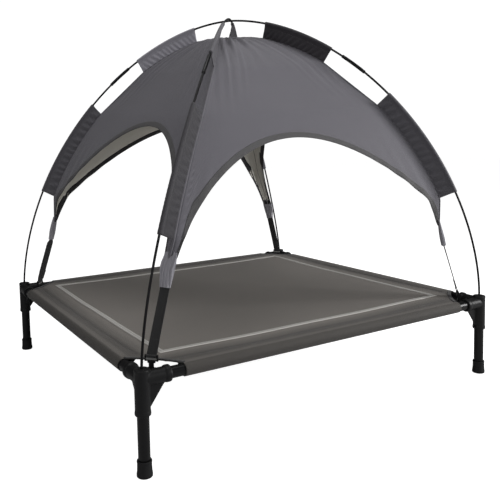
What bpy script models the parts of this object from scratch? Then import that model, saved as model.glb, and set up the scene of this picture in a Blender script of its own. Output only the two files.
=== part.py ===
"""Elevated dog bed with a removable arched canopy.

Frame: origin on the floor under the middle of the bed, +Z up, +X along the long side,
-Y is the front. Metres. Four corner connectors join the legs and the side tubes, the bed
fabric is sleeved over the side tubes, and two arched poles stand in the connectors' caps,
cross at the top and carry the canopy, which is pulled down by a strap and hook at each corner.
"""

import math

import bmesh
import bpy
import numpy as np
from mathutils import Matrix, Vector

# ---- driving dimensions (metres) ----
SPAN_X = 0.906                # leg centre to leg centre, long side
SPAN_Y = 0.824                # leg centre to leg centre, short side
CAP_Z = 0.194                 # top of the corner connectors
TUBE_R = 0.011                # steel tube outer radius
TUBE_WALL = 0.0012
GAP = 0.0003                  # running gap between neighbours

# corner connector
SIDE_Z = 0.1765               # axis height of the side tubes
SOCKET_R = 0.0143
SOCKET_Z = 0.111              # lower end of the leg socket
ARM_R = 0.0138
ARM_END = 0.054               # arm mouth, measured from the leg axis
COLLAR_R = 0.0155
COLLAR_LENGTH = 0.011
SEAT_Z = 0.160                # blind end of the leg socket
SEAT_X = 0.0165               # blind end of each arm bore
BORE_R = 0.0115
POLE_HOLE_R = 0.0029
POLE_HOLE_Z = 0.172           # blind end of the pole hole
WEB = 0.004                   # thickness of the triangular webs
EYE_Z = (0.1725, 0.1775)      # strap eye, between the arms
EYE_R = (0.012, 0.056)        # its reach along the corner's diagonal
EYE_SLOT_R = (0.0265, 0.051)
EYE_HALF = 0.010
EYE_SLOT_HALF = 0.006

# foot
FOOT_HEIGHT = 0.030
FOOT_FLOOR = 0.005
FOOT_R = (0.0144, 0.0131)     # at the floor and at the top

# bed fabric
CLOTH = 0.0012
POCKET_R = 0.0128             # outer radius of the sleeved edge
POCKET_END = 0.082            # pocket end, measured from the leg axis
ARCH_RISE = 0.006             # bulge of the corner cut-out beyond its chord
TAPE_INSET = 0.075            # tape centre line, inside the tube axes
TAPE_WIDTH = 0.012
TAPE_THICK = 0.0006

# poles
ROD_R = 0.0025
ROD_TIP_Z = 0.1727
ARCH_POWER = 1.8              # 2 would be an ellipse
# per pole: top height, turn of the top against the feet, its power, lean along the arch,
# shift of the top across the arch and along it
POLE_SHAPES = {
    "over": (0.9070, math.radians(9.65), 1.26, 0.0, 0.0110, 0.0600),
    "under": (0.8957, math.radians(-6.7), 1.0, -0.0024, 0.0, 0.0),
}
SLIDE = {"front_left": 0.082, "back_right": -0.064}  # from the arch's top to the pole's middle
# distances of the ferrules along a pole
FERRULE_AT = {"front_left": 0.327, "front_right": 0.345, "back_right": 0.350, "back_left": 0.345}
FERRULE_LENGTH = 0.068
FERRULE_R = (0.0031, 0.0041)  # bore and outside

# canopy
PEAK_Z = 0.852
SLEEVE_DROP = 0.037           # pole to ridge seam
UPPER_SLEEVE = (0.097, 0.279)
LOWER_SLEEVE = (0.457, 0.745)
# turn of the sleeves' flaps about the pole at each end of the two sleeves, in degrees
SLEEVE_TILTS = (13, 13, 13, 13)
SLEEVE_TILTS_FRONT = (-20, 2, 12, 12)
SLEEVE_R = (0.0034, 0.0044)
CANOPY_CLOTH = 0.001
HEM_APEX = {"front": 0.537, "right": 0.492, "back": 0.537, "left": 0.492}
HEM_APEX_AT = {"front": 0.43, "right": 0.38, "back": 0.43, "left": 0.38}  # from the over pole's end
# on the over pole's side and on the other: share of the width that reaches the waist, and powers
HEM_EDGE = (0.024, 0.010)
HEM_POWERS = ((0.6, 2.0), (0.8, 1.88))
WAIST = (0.095, 0.369)        # distance inward of the leg axis and height
TAB_END = (0.085, 0.320)
WAIST_ASIDE = {"over": 0.018, "under": -0.012}  # positive anticlockwise seen from above
TAB_ASIDE = {"over": 0.014, "under": -0.008}
TAB_WIDTH = (0.027, 0.022)    # at the waist and at the lower end
TAB_THICK = (0.004, 0.008)

# strap and hook
HINGE = (0.050, 0.200)        # distance inward of the leg axis and height
STRAP_WIDTH = 0.019
STRAP_THICK = 0.0015
LOOP_R = (0.00188, 0.0034)
PIN_R = 0.0017
HOOK_HALF = 0.0130            # half width of the hook's frame
HOOK_SIDE = 0.0025
HOOK_SILL = (0.0065, 0.0095)  # lower bar of the frame, below the hinge
STEM_R = (0.0465, 0.0500)
STEM_HALF = 0.0048
CLAW_R = (0.0289, 0.0318)     # radii of the claw about the hinge
CLAW_ANGLES = (-18.0, 7.0)    # from straight down, positive towards the corner

CORNERS = {
    "front_left": (-1, -1),
    "front_right": (1, -1),
    "back_right": (1, 1),
    "back_left": (-1, 1),
}
QUARTER_TURNS = {"front_left": 0, "front_right": 1, "back_right": 2, "back_left": 3}
HALF_DIAGONAL = math.hypot(SPAN_X, SPAN_Y) / 2

PLASTIC = ("black_plastic", (0.018, 0.018, 0.019, 1), 0.45, 0.0)
STEEL = ("black_steel", (0.012, 0.012, 0.013, 1), 0.32, 0.6)
RUBBER = ("black_rubber", (0.016, 0.016, 0.017, 1), 0.7, 0.0)
FIBREGLASS = ("black_fibreglass", (0.01, 0.01, 0.01, 1), 0.35, 0.0)
BED_CLOTH = ("bed_cloth", (0.092, 0.085, 0.076, 1), 0.85, 0.0)
TAPE = ("border_tape", (0.40, 0.39, 0.36, 1), 0.6, 0.0)
CANOPY = ("canopy_cloth", (0.105, 0.103, 0.118, 1), 0.7, 0.0)
SLEEVE = ("sleeve_cloth", (0.05, 0.048, 0.058, 1), 0.7, 0.0)
WEBBING = ("black_webbing", (0.015, 0.015, 0.016, 1), 0.8, 0.0)


# ---- small tools ----
def clear_scene():
    for ob in list(bpy.data.objects):
        bpy.data.objects.remove(ob, do_unlink=True)


def material(spec):
    name, colour, roughness, metallic = spec
    made = bpy.data.materials.get(name)
    if made is None:
        made = bpy.data.materials.new(name)
        made.use_nodes = True
        shader = made.node_tree.nodes["Principled BSDF"]
        shader.inputs["Base Color"].default_value = colour
        shader.inputs["Roughness"].default_value = roughness
        shader.inputs["Metallic"].default_value = metallic
    return made


def add_object(name, mesh, spec=None, matrix=None):
    ob = bpy.data.objects.new(name, mesh)
    bpy.context.scene.collection.objects.link(ob)
    if spec is not None:
        ob.data.materials.clear()
        ob.data.materials.append(material(spec))
        mesh.shade_smooth()
        mesh.set_sharp_from_angle(angle=math.radians(35))
    if matrix is not None:
        ob.matrix_world = matrix
    return ob


def mesh_from(name, points, faces):
    """A closed mesh from points and faces, turned to face outwards."""
    bm = bmesh.new()
    verts = [bm.verts.new(Vector(map(float, p))) for p in points]
    for face in faces:
        bm.faces.new([verts[i] for i in face])
    bmesh.ops.recalc_face_normals(bm, faces=bm.faces)
    if bm.calc_volume(signed=True) < 0:
        bmesh.ops.reverse_faces(bm, faces=bm.faces)
    mesh = bpy.data.meshes.new(name)
    bm.to_mesh(mesh)
    bm.free()
    return mesh


def swept_cells(name, stations, cells):
    """Sweeps a plane figure made of quads along stations of matching points.

    The sides come from the figure's outer and inner edges, and both ends are closed.
    """
    count = len(stations[0])
    once = {}
    for cell in cells:
        for i, start in enumerate(cell):
            end = cell[(i + 1) % len(cell)]
            key = (min(start, end), max(start, end))
            once[key] = once.get(key, 0) + 1
    rim = [key for key, uses in once.items() if uses == 1]
    points = [p for station in stations for p in station]
    faces = []
    for k in range(len(stations) - 1):
        here = k * count
        there = here + count
        for i, j in rim:
            faces.append((here + i, here + j, there + j, there + i))
    last = (len(stations) - 1) * count
    for cell in cells:
        faces.append(tuple(cell))
        faces.append(tuple(last + i for i in cell))
    return mesh_from(name, points, faces)


def disc_cells(sides):
    return [tuple(range(sides))]


def ring_cells(sides):
    """Cells between an inner circle (points 0..sides-1) and an outer one (sides..2*sides-1)."""
    return [
        (i, (i + 1) % sides, sides + (i + 1) % sides, sides + i)
        for i in range(sides)
    ]


def circle(radius, sides, phase=0.0):
    step = 2 * math.pi / sides
    return [(radius * math.cos(phase + i * step), radius * math.sin(phase + i * step)) for i in range(sides)]


def cylinder_mesh(name, radius, start, end, sides=16):
    """A closed cylinder between two points."""
    axis = Vector(end) - Vector(start)
    bm = bmesh.new()
    bmesh.ops.create_cone(
        bm, cap_ends=True, segments=sides, radius1=radius, radius2=radius, depth=axis.length
    )
    turn = Vector((0, 0, 1)).rotation_difference(axis).to_matrix().to_4x4()
    middle = (Vector(start) + Vector(end)) / 2
    bmesh.ops.transform(bm, matrix=Matrix.Translation(middle) @ turn, verts=bm.verts)
    mesh = bpy.data.meshes.new(name)
    bm.to_mesh(mesh)
    bm.free()
    return mesh


def box_mesh(name, low, high):
    xs, ys, zs = zip(low, high)
    points = [(x, y, z) for z in zs for y in ys for x in xs]
    faces = [(0, 2, 3, 1), (4, 5, 7, 6), (0, 1, 5, 4), (2, 6, 7, 3), (0, 4, 6, 2), (1, 3, 7, 5)]
    return mesh_from(name, points, faces)


def prism_mesh(name, outline, low, high, place):
    """Extrudes an outline between two levels; place turns (u, v, level) into a point."""
    count = len(outline)
    points = [place(u, v, low) for u, v in outline] + [place(u, v, high) for u, v in outline]
    faces = [tuple(range(count)), tuple(range(count, 2 * count))]
    for i in range(count):
        j = (i + 1) % count
        faces.append((i, j, count + j, count + i))
    return mesh_from(name, points, faces)


def combine(base, tools, operation):
    """Booleans each tool mesh into the base mesh and returns the new mesh."""
    ob = add_object("work_piece", base)
    for tool_mesh in tools:
        tool = add_object("work_tool", tool_mesh)
        cut = ob.modifiers.new("cut", "BOOLEAN")
        cut.operation = operation
        cut.solver = "EXACT"
        cut.object = tool
        graph = bpy.context.evaluated_depsgraph_get()
        result = bpy.data.meshes.new_from_object(ob.evaluated_get(graph))
        ob.modifiers.clear()
        ob.data = result
        bpy.data.objects.remove(tool, do_unlink=True)
    mesh = ob.data
    bpy.data.objects.remove(ob, do_unlink=True)
    return mesh


def turned_mesh(name, profile, sides):
    """Revolves a closed (radius, z) profile about Z; a point with no radius lies on the axis."""
    points = []
    rings = []
    for radius, z in profile:
        if radius == 0:
            rings.append([len(points)] * sides)
            points.append((0, 0, z))
        else:
            rings.append(list(range(len(points), len(points) + sides)))
            points += [(x, y, z) for x, y in circle(radius, sides)]
    faces = []
    for k, ring in enumerate(rings):
        following = rings[(k + 1) % len(rings)]
        for i in range(sides):
            j = (i + 1) % sides
            corners = [ring[i], ring[j], following[j], following[i]]
            distinct = list(dict.fromkeys(corners))
            if len(distinct) > 2:
                faces.append(distinct)
    return mesh_from(name, points, faces)


# ---- corner connectors, legs and feet ----
def diagonal_place(radius, side, z):
    """A point given by its distance along the front-left corner's 45 degree line."""
    s = math.sqrt(0.5)
    return ((radius - side) * s, (radius + side) * s, z)


def web_meshes():
    outline = [(0.008, 0.168), (0.041, 0.168), (0.041, 0.159), (0.0155, 0.124), (0.008, 0.124)]
    along_x = prism_mesh("web", outline, -WEB / 2, WEB / 2, lambda u, v, t: (u, t, v))
    along_y = prism_mesh("web", outline, -WEB / 2, WEB / 2, lambda u, v, t: (t, u, v))
    return [along_x, along_y]


def plate_on_diagonal(reach, half):
    outline = [(reach[0], -half), (reach[1], -half), (reach[1], half), (reach[0], half)]
    return prism_mesh("plate", outline, *EYE_Z, diagonal_place)


def connector_mesh():
    """Three-way corner with its leg axis at the origin and its arms along +X and +Y."""
    body = cylinder_mesh("corner_connector", SOCKET_R, (0, 0, SOCKET_Z), (0, 0, CAP_Z), 24)
    added = []
    for axis in ((1, 0), (0, 1)):
        def at(reach, axis=axis):
            return (axis[0] * reach, axis[1] * reach, SIDE_Z)
        added.append(cylinder_mesh("arm", ARM_R, at(0.0), at(ARM_END - 0.002)))
        added.append(cylinder_mesh("collar", COLLAR_R, at(ARM_END - COLLAR_LENGTH), at(ARM_END)))
    added += web_meshes()
    added.append(plate_on_diagonal(EYE_R, EYE_HALF))
    body = combine(body, added, "UNION")
    slot = prism_mesh(
        "slot",
        [(EYE_SLOT_R[0], -EYE_SLOT_HALF), (EYE_SLOT_R[1], -EYE_SLOT_HALF),
         (EYE_SLOT_R[1], EYE_SLOT_HALF), (EYE_SLOT_R[0], EYE_SLOT_HALF)],
        EYE_Z[0] - 0.003, EYE_Z[1] + 0.003, diagonal_place,
    )
    removed = [
        cylinder_mesh("bore", BORE_R, (0, 0, SOCKET_Z - 0.01), (0, 0, SEAT_Z)),
        cylinder_mesh("bore", BORE_R, (SEAT_X, 0, SIDE_Z), (ARM_END + 0.01, 0, SIDE_Z)),
        cylinder_mesh("bore", BORE_R, (0, SEAT_X, SIDE_Z), (0, ARM_END + 0.01, SIDE_Z)),
        cylinder_mesh("bore", POLE_HOLE_R, (0, 0, POLE_HOLE_Z), (0, 0, CAP_Z + 0.01), 12),
        slot,
    ]
    return combine(body, removed, "DIFFERENCE")


def hollow_tube_mesh(name, start, end):
    profile = [(TUBE_R - TUBE_WALL, 0), (TUBE_R, 0), (TUBE_R, 1), (TUBE_R - TUBE_WALL, 1)]
    axis = Vector(end) - Vector(start)
    mesh = turned_mesh(name, [(r, z * axis.length) for r, z in profile], 16)
    turn = Vector((0, 0, 1)).rotation_difference(axis).to_matrix().to_4x4()
    mesh.transform(Matrix.Translation(start) @ turn)
    return mesh


def foot_mesh():
    bottom, top = FOOT_R
    profile = [
        (0, 0), (bottom - 0.0015, 0), (bottom, 0.0015), (bottom, 0.006),
        (top, FOOT_HEIGHT), (BORE_R, FOOT_HEIGHT), (BORE_R, FOOT_FLOOR), (0, FOOT_FLOOR),
    ]
    return turned_mesh("rubber_foot", profile, 16)


def corner_matrix(corner):
    sx, sy = CORNERS[corner]
    place = Matrix.Translation((sx * SPAN_X / 2, sy * SPAN_Y / 2, 0))
    return place @ Matrix.Rotation(QUARTER_TURNS[corner] * math.pi / 2, 4, "Z")


def make_corners():
    connector = connector_mesh()
    foot = foot_mesh()
    leg = hollow_tube_mesh("leg_tube", (0, 0, FOOT_FLOOR + GAP), (0, 0, SEAT_Z - GAP))
    for corner in CORNERS:
        at = corner_matrix(corner)
        add_object("corner_connector_" + corner, connector, PLASTIC, at)
        add_object("rubber_foot_" + corner, foot, RUBBER, at)
        add_object("leg_tube_" + corner, leg, STEEL, at)


def make_side_tubes():
    half_x = SPAN_X / 2
    half_y = SPAN_Y / 2
    end_x = half_x - SEAT_X - GAP
    end_y = half_y - SEAT_X - GAP
    runs = {
        "side_tube_front": ((-end_x, -half_y, SIDE_Z), (end_x, -half_y, SIDE_Z)),
        "side_tube_back": ((-end_x, half_y, SIDE_Z), (end_x, half_y, SIDE_Z)),
        "side_tube_left": ((-half_x, -end_y, SIDE_Z), (-half_x, end_y, SIDE_Z)),
        "side_tube_right": ((half_x, -end_y, SIDE_Z), (half_x, end_y, SIDE_Z)),
    }
    for name, (start, end) in runs.items():
        add_object(name, hollow_tube_mesh(name, start, end), STEEL)


# ---- bed fabric ----
def deck_outline():
    """The deck's plan, anticlockwise, with an arched cut-out at each corner."""
    half_x = SPAN_X / 2
    half_y = SPAN_Y / 2
    steps = 6
    points = []
    for sx, sy in ((-1, -1), (1, -1), (1, 1), (-1, 1)):
        ends = [
            Vector((sx * (half_x - POCKET_END), sy * half_y)),
            Vector((sx * half_x, sy * (half_y - POCKET_END))),
        ]
        if sx * sy > 0:
            ends.reverse()
        inward = Vector((-sx, -sy)).normalized()
        for k in range(steps + 1):
            t = k / steps
            bulge = ARCH_RISE * 4 * t * (1 - t)
            points.append(ends[0].lerp(ends[1], t) + inward * bulge)
    return points


def pocket_mesh(start, end, side_axis):
    """A round sleeve of cloth from start to end; side_axis is its level cross direction."""
    sides = 16
    inner = circle(POCKET_R - CLOTH, sides)
    outer = circle(POCKET_R, sides)
    stations = []
    for end_point in (start, end):
        base = Vector(end_point)
        stations.append([base + Vector(side_axis) * u + Vector((0, 0, v)) for u, v in inner + outer])
    return swept_cells("pocket", stations, ring_cells(sides))


def make_bed_fabric():
    half_x = SPAN_X / 2
    half_y = SPAN_Y / 2
    top = SIDE_Z + POCKET_R - 0.0001
    deck = prism_mesh(
        "bed_fabric", [tuple(p) for p in deck_outline()], top - CLOTH, top, lambda u, v, z: (u, v, z)
    )
    run_x = half_x - POCKET_END
    run_y = half_y - POCKET_END
    pockets = []
    for s in (-1, 1):
        pockets.append(pocket_mesh((-run_x, s * half_y, SIDE_Z), (run_x, s * half_y, SIDE_Z), (0, 1, 0)))
        pockets.append(pocket_mesh((s * half_x, -run_y, SIDE_Z), (s * half_x, run_y, SIDE_Z), (1, 0, 0)))
    add_object("bed_fabric", combine(deck, pockets, "UNION"), BED_CLOTH)


def make_border_tape():
    low = SIDE_Z + POCKET_R + GAP
    x = SPAN_X / 2 - TAPE_INSET
    y = SPAN_Y / 2 - TAPE_INSET
    half = TAPE_WIDTH / 2
    corners = ((-1, -1), (1, -1), (1, 1), (-1, 1))
    stations = []
    for z in (low, low + TAPE_THICK):
        ring = [(sx * (x - half), sy * (y - half), z) for sx, sy in corners]
        ring += [(sx * (x + half), sy * (y + half), z) for sx, sy in corners]
        stations.append(ring)
    add_object("bed_border_tape", swept_cells("bed_border_tape", stations, ring_cells(4)), TAPE)


# ---- poles ----
def pole_of(corner):
    """The pole from front left to back right lies over the other."""
    return "over" if CORNERS[corner][0] * CORNERS[corner][1] > 0 else "under"


def sleeve_tilt(corner, distance):
    tilts = SLEEVE_TILTS_FRONT if corner == "front_left" else SLEEVE_TILTS
    return math.radians(np.interp(distance, (*UPPER_SLEEVE, *LOWER_SLEEVE), tilts))


class Arch:
    """Half of a pole, from the crossing down to one corner, measured along its length."""

    def __init__(self, corner):
        sx, sy = CORNERS[corner]
        self.corner = corner
        self.out = np.array([sx * SPAN_X, sy * SPAN_Y, 0.0]) / (2 * HALF_DIAGONAL)
        across = np.array([-self.out[1], self.out[0], 0.0])
        pole = pole_of(corner)
        top, twist, twist_power, lean, shift, slip = POLE_SHAPES[pole]
        h = np.sin(np.linspace(math.pi / 2, 0, 4001))
        reach = HALF_DIAGONAL * np.clip(1 - h ** ARCH_POWER, 0, 1) ** (1 / ARCH_POWER)
        turn = twist * h ** twist_power
        along = reach * np.cos(turn) + sx * (lean * np.sin(math.pi * h) + slip * h ** 2)
        sideways = reach * np.sin(turn) + sx * shift * h
        self.points = np.outer(along, self.out) + np.outer(sideways, across)
        self.points[:, 2] = CAP_Z + (top - CAP_Z) * h
        steps = np.linalg.norm(np.diff(self.points, axis=0), axis=1)
        self.lengths = np.concatenate([[0], np.cumsum(steps)]) - SLIDE.get(corner, 0.0)
        self.length = self.lengths[-1]

    def at(self, distance):
        return np.array([np.interp(distance, self.lengths, self.points[:, k]) for k in range(3)])

    def tangent(self, distance):
        near = max(distance - 0.002, self.lengths[0])
        far = min(distance + 0.002, self.length)
        step = self.at(far) - self.at(near)
        return step / np.linalg.norm(step)

    def inward(self, distance):
        """Square to the pole, towards the inside of the arch, in the pole's upright plane."""
        t = self.tangent(distance)
        level = math.hypot(t[0], t[1])
        out = np.array([t[0], t[1], 0.0]) / level
        return t[2] * out - level * np.array([0.0, 0.0, 1.0])

    def across(self, distance):
        return np.cross(self.tangent(distance), self.inward(distance))

    def section(self, distance, figure):
        """Places a plane figure of (across, inward) points square to the pole."""
        centre = self.at(distance)
        u = self.across(distance)
        v = self.inward(distance)
        return [centre + u * a + v * b for a, b in figure]

    def ridge(self, distance):
        tilt = sleeve_tilt(self.corner, distance)
        figure = [(SLEEVE_DROP * math.sin(tilt), SLEEVE_DROP * math.cos(tilt))]
        return self.section(distance, figure)[0]


ARCHES = {}
UPPER_STATIONS = np.linspace(*UPPER_SLEEVE, 4)
LOWER_STATIONS = np.linspace(*LOWER_SLEEVE, 5)


def rod_mesh(name, stations):
    return swept_cells(name, stations, disc_cells(8))


def middle_distances(corner):
    """Stations of half a middle rod, from the ferrule up to just short of the arch's top."""
    start = ARCHES[corner].lengths[0] + 0.012
    count = math.ceil((UPPER_SLEEVE[0] - start) / 0.035) + 1
    tops = np.linspace(UPPER_SLEEVE[0], start, count)[1:]
    joint = FERRULE_AT[corner]
    return [joint - 0.0005, joint - FERRULE_LENGTH / 2, *UPPER_STATIONS[::-1], *tops]


def make_middle_rod(name, first, second):
    """The pole's middle length, through the crossing, from one ferrule to the other."""
    figure = circle(ROD_R, 8)
    mirrored = [(-a, b) for a, b in figure]
    stations = [ARCHES[first].section(d, figure) for d in middle_distances(first)]
    stations += [ARCHES[second].section(d, mirrored) for d in middle_distances(second)[::-1]]
    add_object(name, rod_mesh(name, stations), FIBREGLASS)


def make_end_rod(name, corner):
    arch = ARCHES[corner]
    figure = circle(ROD_R, 8)
    joint = FERRULE_AT[corner]
    distances = [joint + 0.0005, joint + FERRULE_LENGTH / 2, 0.41, *LOWER_STATIONS]
    distances += [0.81, 0.87, 0.92, 0.96, arch.length - 0.012]
    stations = [arch.section(d, figure) for d in distances]
    foot = arch.at(arch.length)
    u = arch.across(arch.length - 0.012) * (1, 1, 0)
    u /= np.linalg.norm(u)
    v = np.cross(u, (0, 0, -1))
    for z in (CAP_Z + 0.001, ROD_TIP_Z):
        centre = np.array([foot[0], foot[1], z])
        stations.append([centre + u * a + v * b for a, b in figure])
    add_object(name, rod_mesh(name, stations), FIBREGLASS)


def make_ferrule(corner):
    figure = circle(FERRULE_R[0], 10) + circle(FERRULE_R[1], 10)
    joint = FERRULE_AT[corner]
    half = FERRULE_LENGTH / 2
    distances = [joint - half, joint - 0.0005, joint + 0.0005, joint + half]
    stations = [ARCHES[corner].section(d, figure) for d in distances]
    name = "pole_ferrule_" + corner
    add_object(name, swept_cells(name, stations, ring_cells(10)), STEEL)


def make_poles():
    for corner in CORNERS:
        ARCHES[corner] = Arch(corner)
        make_ferrule(corner)
        make_end_rod("pole_end_" + corner, corner)
    make_middle_rod("pole_middle_over", "front_left", "back_right")
    make_middle_rod("pole_middle_under", "front_right", "back_left")


# ---- canopy ----
def inward_point(corner, place, aside):
    """A point at (distance inward of the leg axis, height), set aside of the corner's diagonal."""
    out = ARCHES[corner].out
    across = np.array([-out[1], out[0], 0.0])
    return out * (HALF_DIAGONAL - place[0]) + across * aside + np.array([0, 0, place[1]])


def waist_point(corner, lift=0.0):
    return inward_point(corner, (WAIST[0], WAIST[1] + lift), WAIST_ASIDE[pole_of(corner)])


def tab_end_point(corner, lift=0.0):
    return inward_point(corner, (TAB_END[0], TAB_END[1] + lift), TAB_ASIDE[pole_of(corner)])


def ridge_point(corner, distance):
    """The ridge seam under a pole: along the sleeves, straight between them, down to the waist."""
    arch = ARCHES[corner]
    peak = np.array([0.0, 0.0, PEAK_Z])
    if distance < UPPER_SLEEVE[0]:
        return peak + (arch.ridge(UPPER_SLEEVE[0]) - peak) * distance / UPPER_SLEEVE[0]
    if UPPER_SLEEVE[1] < distance < LOWER_SLEEVE[0]:
        start = arch.ridge(UPPER_SLEEVE[1])
        end = arch.ridge(LOWER_SLEEVE[0])
        t = (distance - UPPER_SLEEVE[1]) / (LOWER_SLEEVE[0] - UPPER_SLEEVE[1])
        return start + (end - start) * t
    if distance <= LOWER_SLEEVE[1]:
        return arch.ridge(distance)
    start = arch.ridge(LOWER_SLEEVE[1])
    end = waist_point(corner)
    t = (distance - LOWER_SLEEVE[1]) / (waist_distance(corner) - LOWER_SLEEVE[1])
    return start + (end - start) * t


def waist_distance(corner):
    start = ARCHES[corner].ridge(LOWER_SLEEVE[1])
    return LOWER_SLEEVE[1] + float(np.linalg.norm(waist_point(corner) - start))


def hem_distance(side, v, first, second):
    """Where the arched hem lies at v, from the first corner (0) to the second (1)."""
    w = v if pole_of(first) == "over" else 1 - v
    waist = waist_distance(first) * (1 - v) + waist_distance(second) * v
    apex = HEM_APEX_AT[side]
    if w < apex:
        place = (w - HEM_EDGE[0]) / (apex - HEM_EDGE[0])
        inner, outer = HEM_POWERS[0]
    else:
        place = (1 - w - HEM_EDGE[1]) / (1 - apex - HEM_EDGE[1])
        inner, outer = HEM_POWERS[1]
    rise = (1 - max(place, 0.0) ** inner) ** outer
    return HEM_APEX[side] + (waist - HEM_APEX[side]) * rise


def make_canopy_panel(side, first, second):
    """One sewn panel between two ridge seams, from the peak to its arched hem."""
    shares = [0.0, HEM_EDGE[0], 0.045, 0.11, 0.22, 0.40, 0.60, 0.76, 0.90, 0.96, 1 - HEM_EDGE[1], 1.0]
    if pole_of(first) == "under":
        shares = [1 - v for v in reversed(shares)]
    tip = 0.006
    trim = 0.0014
    end = (waist_distance(first) + waist_distance(second)) / 2
    grid = []
    for row_distance in [tip, *UPPER_STATIONS, 0.368, *LOWER_STATIONS, end]:
        drop = (row_distance - tip) / (end - tip)
        row = []
        for v in shares:
            distance = tip + (hem_distance(side, v, first, second) - tip) * drop
            a = ridge_point(first, distance)
            b = ridge_point(second, distance)
            inset = trim / np.linalg.norm(b - a)
            row.append(a + (b - a) * (inset + (1 - 2 * inset) * v))
        grid.append(row)
    add_object("canopy_panel_" + side, shell_mesh("canopy_panel_" + side, grid, CANOPY_CLOTH), CANOPY)


def shell_mesh(name, grid, thickness):
    """A closed sheet of the given thickness about a grid of points."""
    grid = np.array(grid)
    along = np.gradient(grid, axis=0)
    over = np.gradient(grid, axis=1)
    normal = np.cross(along, over)
    normal /= np.linalg.norm(normal, axis=2, keepdims=True)
    rows, columns = grid.shape[:2]
    points = list((grid + normal * thickness / 2).reshape(-1, 3))
    points += list((grid - normal * thickness / 2).reshape(-1, 3))
    layer = rows * columns
    faces = []
    for k in range(rows - 1):
        for i in range(columns - 1):
            a = k * columns + i
            quad = (a, a + 1, a + columns + 1, a + columns)
            faces.append(quad)
            faces.append(tuple(layer + n for n in quad))
    rim = list(range(columns))
    rim += [k * columns + columns - 1 for k in range(1, rows)]
    rim += [(rows - 1) * columns + k for k in range(columns - 2, -1, -1)]
    rim += [k * columns for k in range(rows - 2, 0, -1)]
    for i, here in enumerate(rim):
        there = rim[(i + 1) % len(rim)]
        faces.append((here, there, layer + there, layer + here))
    return mesh_from(name, points, faces)


def sleeve_figure(tilt):
    """A ring round the pole with a flap hanging from it, as points and cells.

    The flap is drawn along +Y and the whole figure is then turned to the sleeve's tilt.
    """
    sides = 8
    phase = math.pi / 2 + math.pi / sides
    points = circle(SLEEVE_R[0], sides, phase) + circle(SLEEVE_R[1], sides, phase)
    half = CANOPY_CLOTH / 2
    root = SLEEVE_R[1] * math.cos(math.pi / sides)
    lower = SLEEVE_DROP - 0.0022
    first = 2 * sides
    points += [(-half, root), (half, root), (-half, lower), (half, lower)]
    left, right = sides, 2 * sides - 1
    cells = [c for c in ring_cells(sides) if set(c) != {0, sides - 1, left, right}]
    cells.append((0, sides - 1, right, first + 1, first, left))
    cells.append((first, first + 1, first + 3, first + 2))
    c, s = math.cos(tilt), math.sin(tilt)
    return [(x * c + y * s, y * c - x * s) for x, y in points], cells


def make_sleeves():
    for corner in CORNERS:
        for place, distances in (("upper", UPPER_STATIONS), ("lower", LOWER_STATIONS)):
            name = f"pole_sleeve_{place}_{corner}"
            stations = []
            for d in distances:
                points, cells = sleeve_figure(sleeve_tilt(corner, d))
                stations.append(ARCHES[corner].section(d, points))
            add_object(name, swept_cells(name, stations, cells), SLEEVE)


# ---- tabs, straps and hooks ----
def connector_basis(corner):
    """The leg axis, and the inward and sideways directions of the connector's strap eye."""
    sx, sy = CORNERS[corner]
    leg = np.array([sx * SPAN_X / 2, sy * SPAN_Y / 2, 0.0])
    inward = np.array([-sx, -sy, 0.0]) * math.sqrt(0.5)
    side = np.array([-inward[1], inward[0], 0.0])
    return leg, inward, side


def make_tab(corner):
    """The gathered end of the canopy, in the pole's upright plane."""
    inward = -ARCHES[corner].out
    side = np.array([-inward[1], inward[0], 0.0])
    centres = (waist_point(corner, -0.0006), tab_end_point(corner))
    stations = []
    for centre, width, thick in zip(centres, TAB_WIDTH, TAB_THICK):
        w = width / 2
        d = thick / 2
        stations.append([centre + side * a + inward * b for a, b in ((-w, -d), (w, -d), (w, d), (-w, d))])
    name = "corner_tab_" + corner
    add_object(name, swept_cells(name, stations, [(0, 1, 2, 3)]), CANOPY)


def strap_figure(top):
    """The strap's side view: a flat run down to a sewn loop round the hook's pin.

    The last four of the points are the run's two ends, root first.
    """
    sides = 10
    lean = math.atan2(top[1] - HINGE[1], top[0] - HINGE[0])
    phase = lean + math.pi / sides
    points = [(HINGE[0] + x, HINGE[1] + z)
              for x, z in circle(LOOP_R[0], sides, phase) + circle(LOOP_R[1], sides, phase)]
    along = np.array([math.cos(lean), math.sin(lean)])
    square = np.array([-along[1], along[0]])
    root = np.array(HINGE) + along * LOOP_R[1] * math.cos(math.pi / sides)
    half = STRAP_THICK / 2
    end = np.array(top)
    first = 2 * sides
    points += [tuple(root - square * half), tuple(root + square * half)]
    points += [tuple(end - square * half), tuple(end + square * half)]
    low, high = 2 * sides - 1, sides
    cells = [c for c in ring_cells(sides) if set(c) != {0, sides - 1, low, high}]
    cells.append((sides - 1, 0, high, first + 1, first, low))
    cells.append((first, first + 1, first + 3, first + 2))
    return points, cells


def make_strap(corner):
    """Runs from under the tab to the hook; its top stands a little aside of the strap eye."""
    leg, inward, side = connector_basis(corner)
    top = tab_end_point(corner, -0.0006) - leg
    aside = float(top @ side)
    points, cells = strap_figure((float(top @ inward), float(top[2])))
    stations = []
    for offset in (-STRAP_WIDTH / 2, STRAP_WIDTH / 2):
        station = []
        for i, (r, z) in enumerate(points):
            shift = aside if i >= len(points) - 2 else 0.0
            station.append(leg + inward * r + side * (offset + shift) + np.array([0, 0, z]))
        stations.append(station)
    name = "corner_strap_" + corner
    add_object(name, swept_cells(name, stations, cells), WEBBING)


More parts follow.
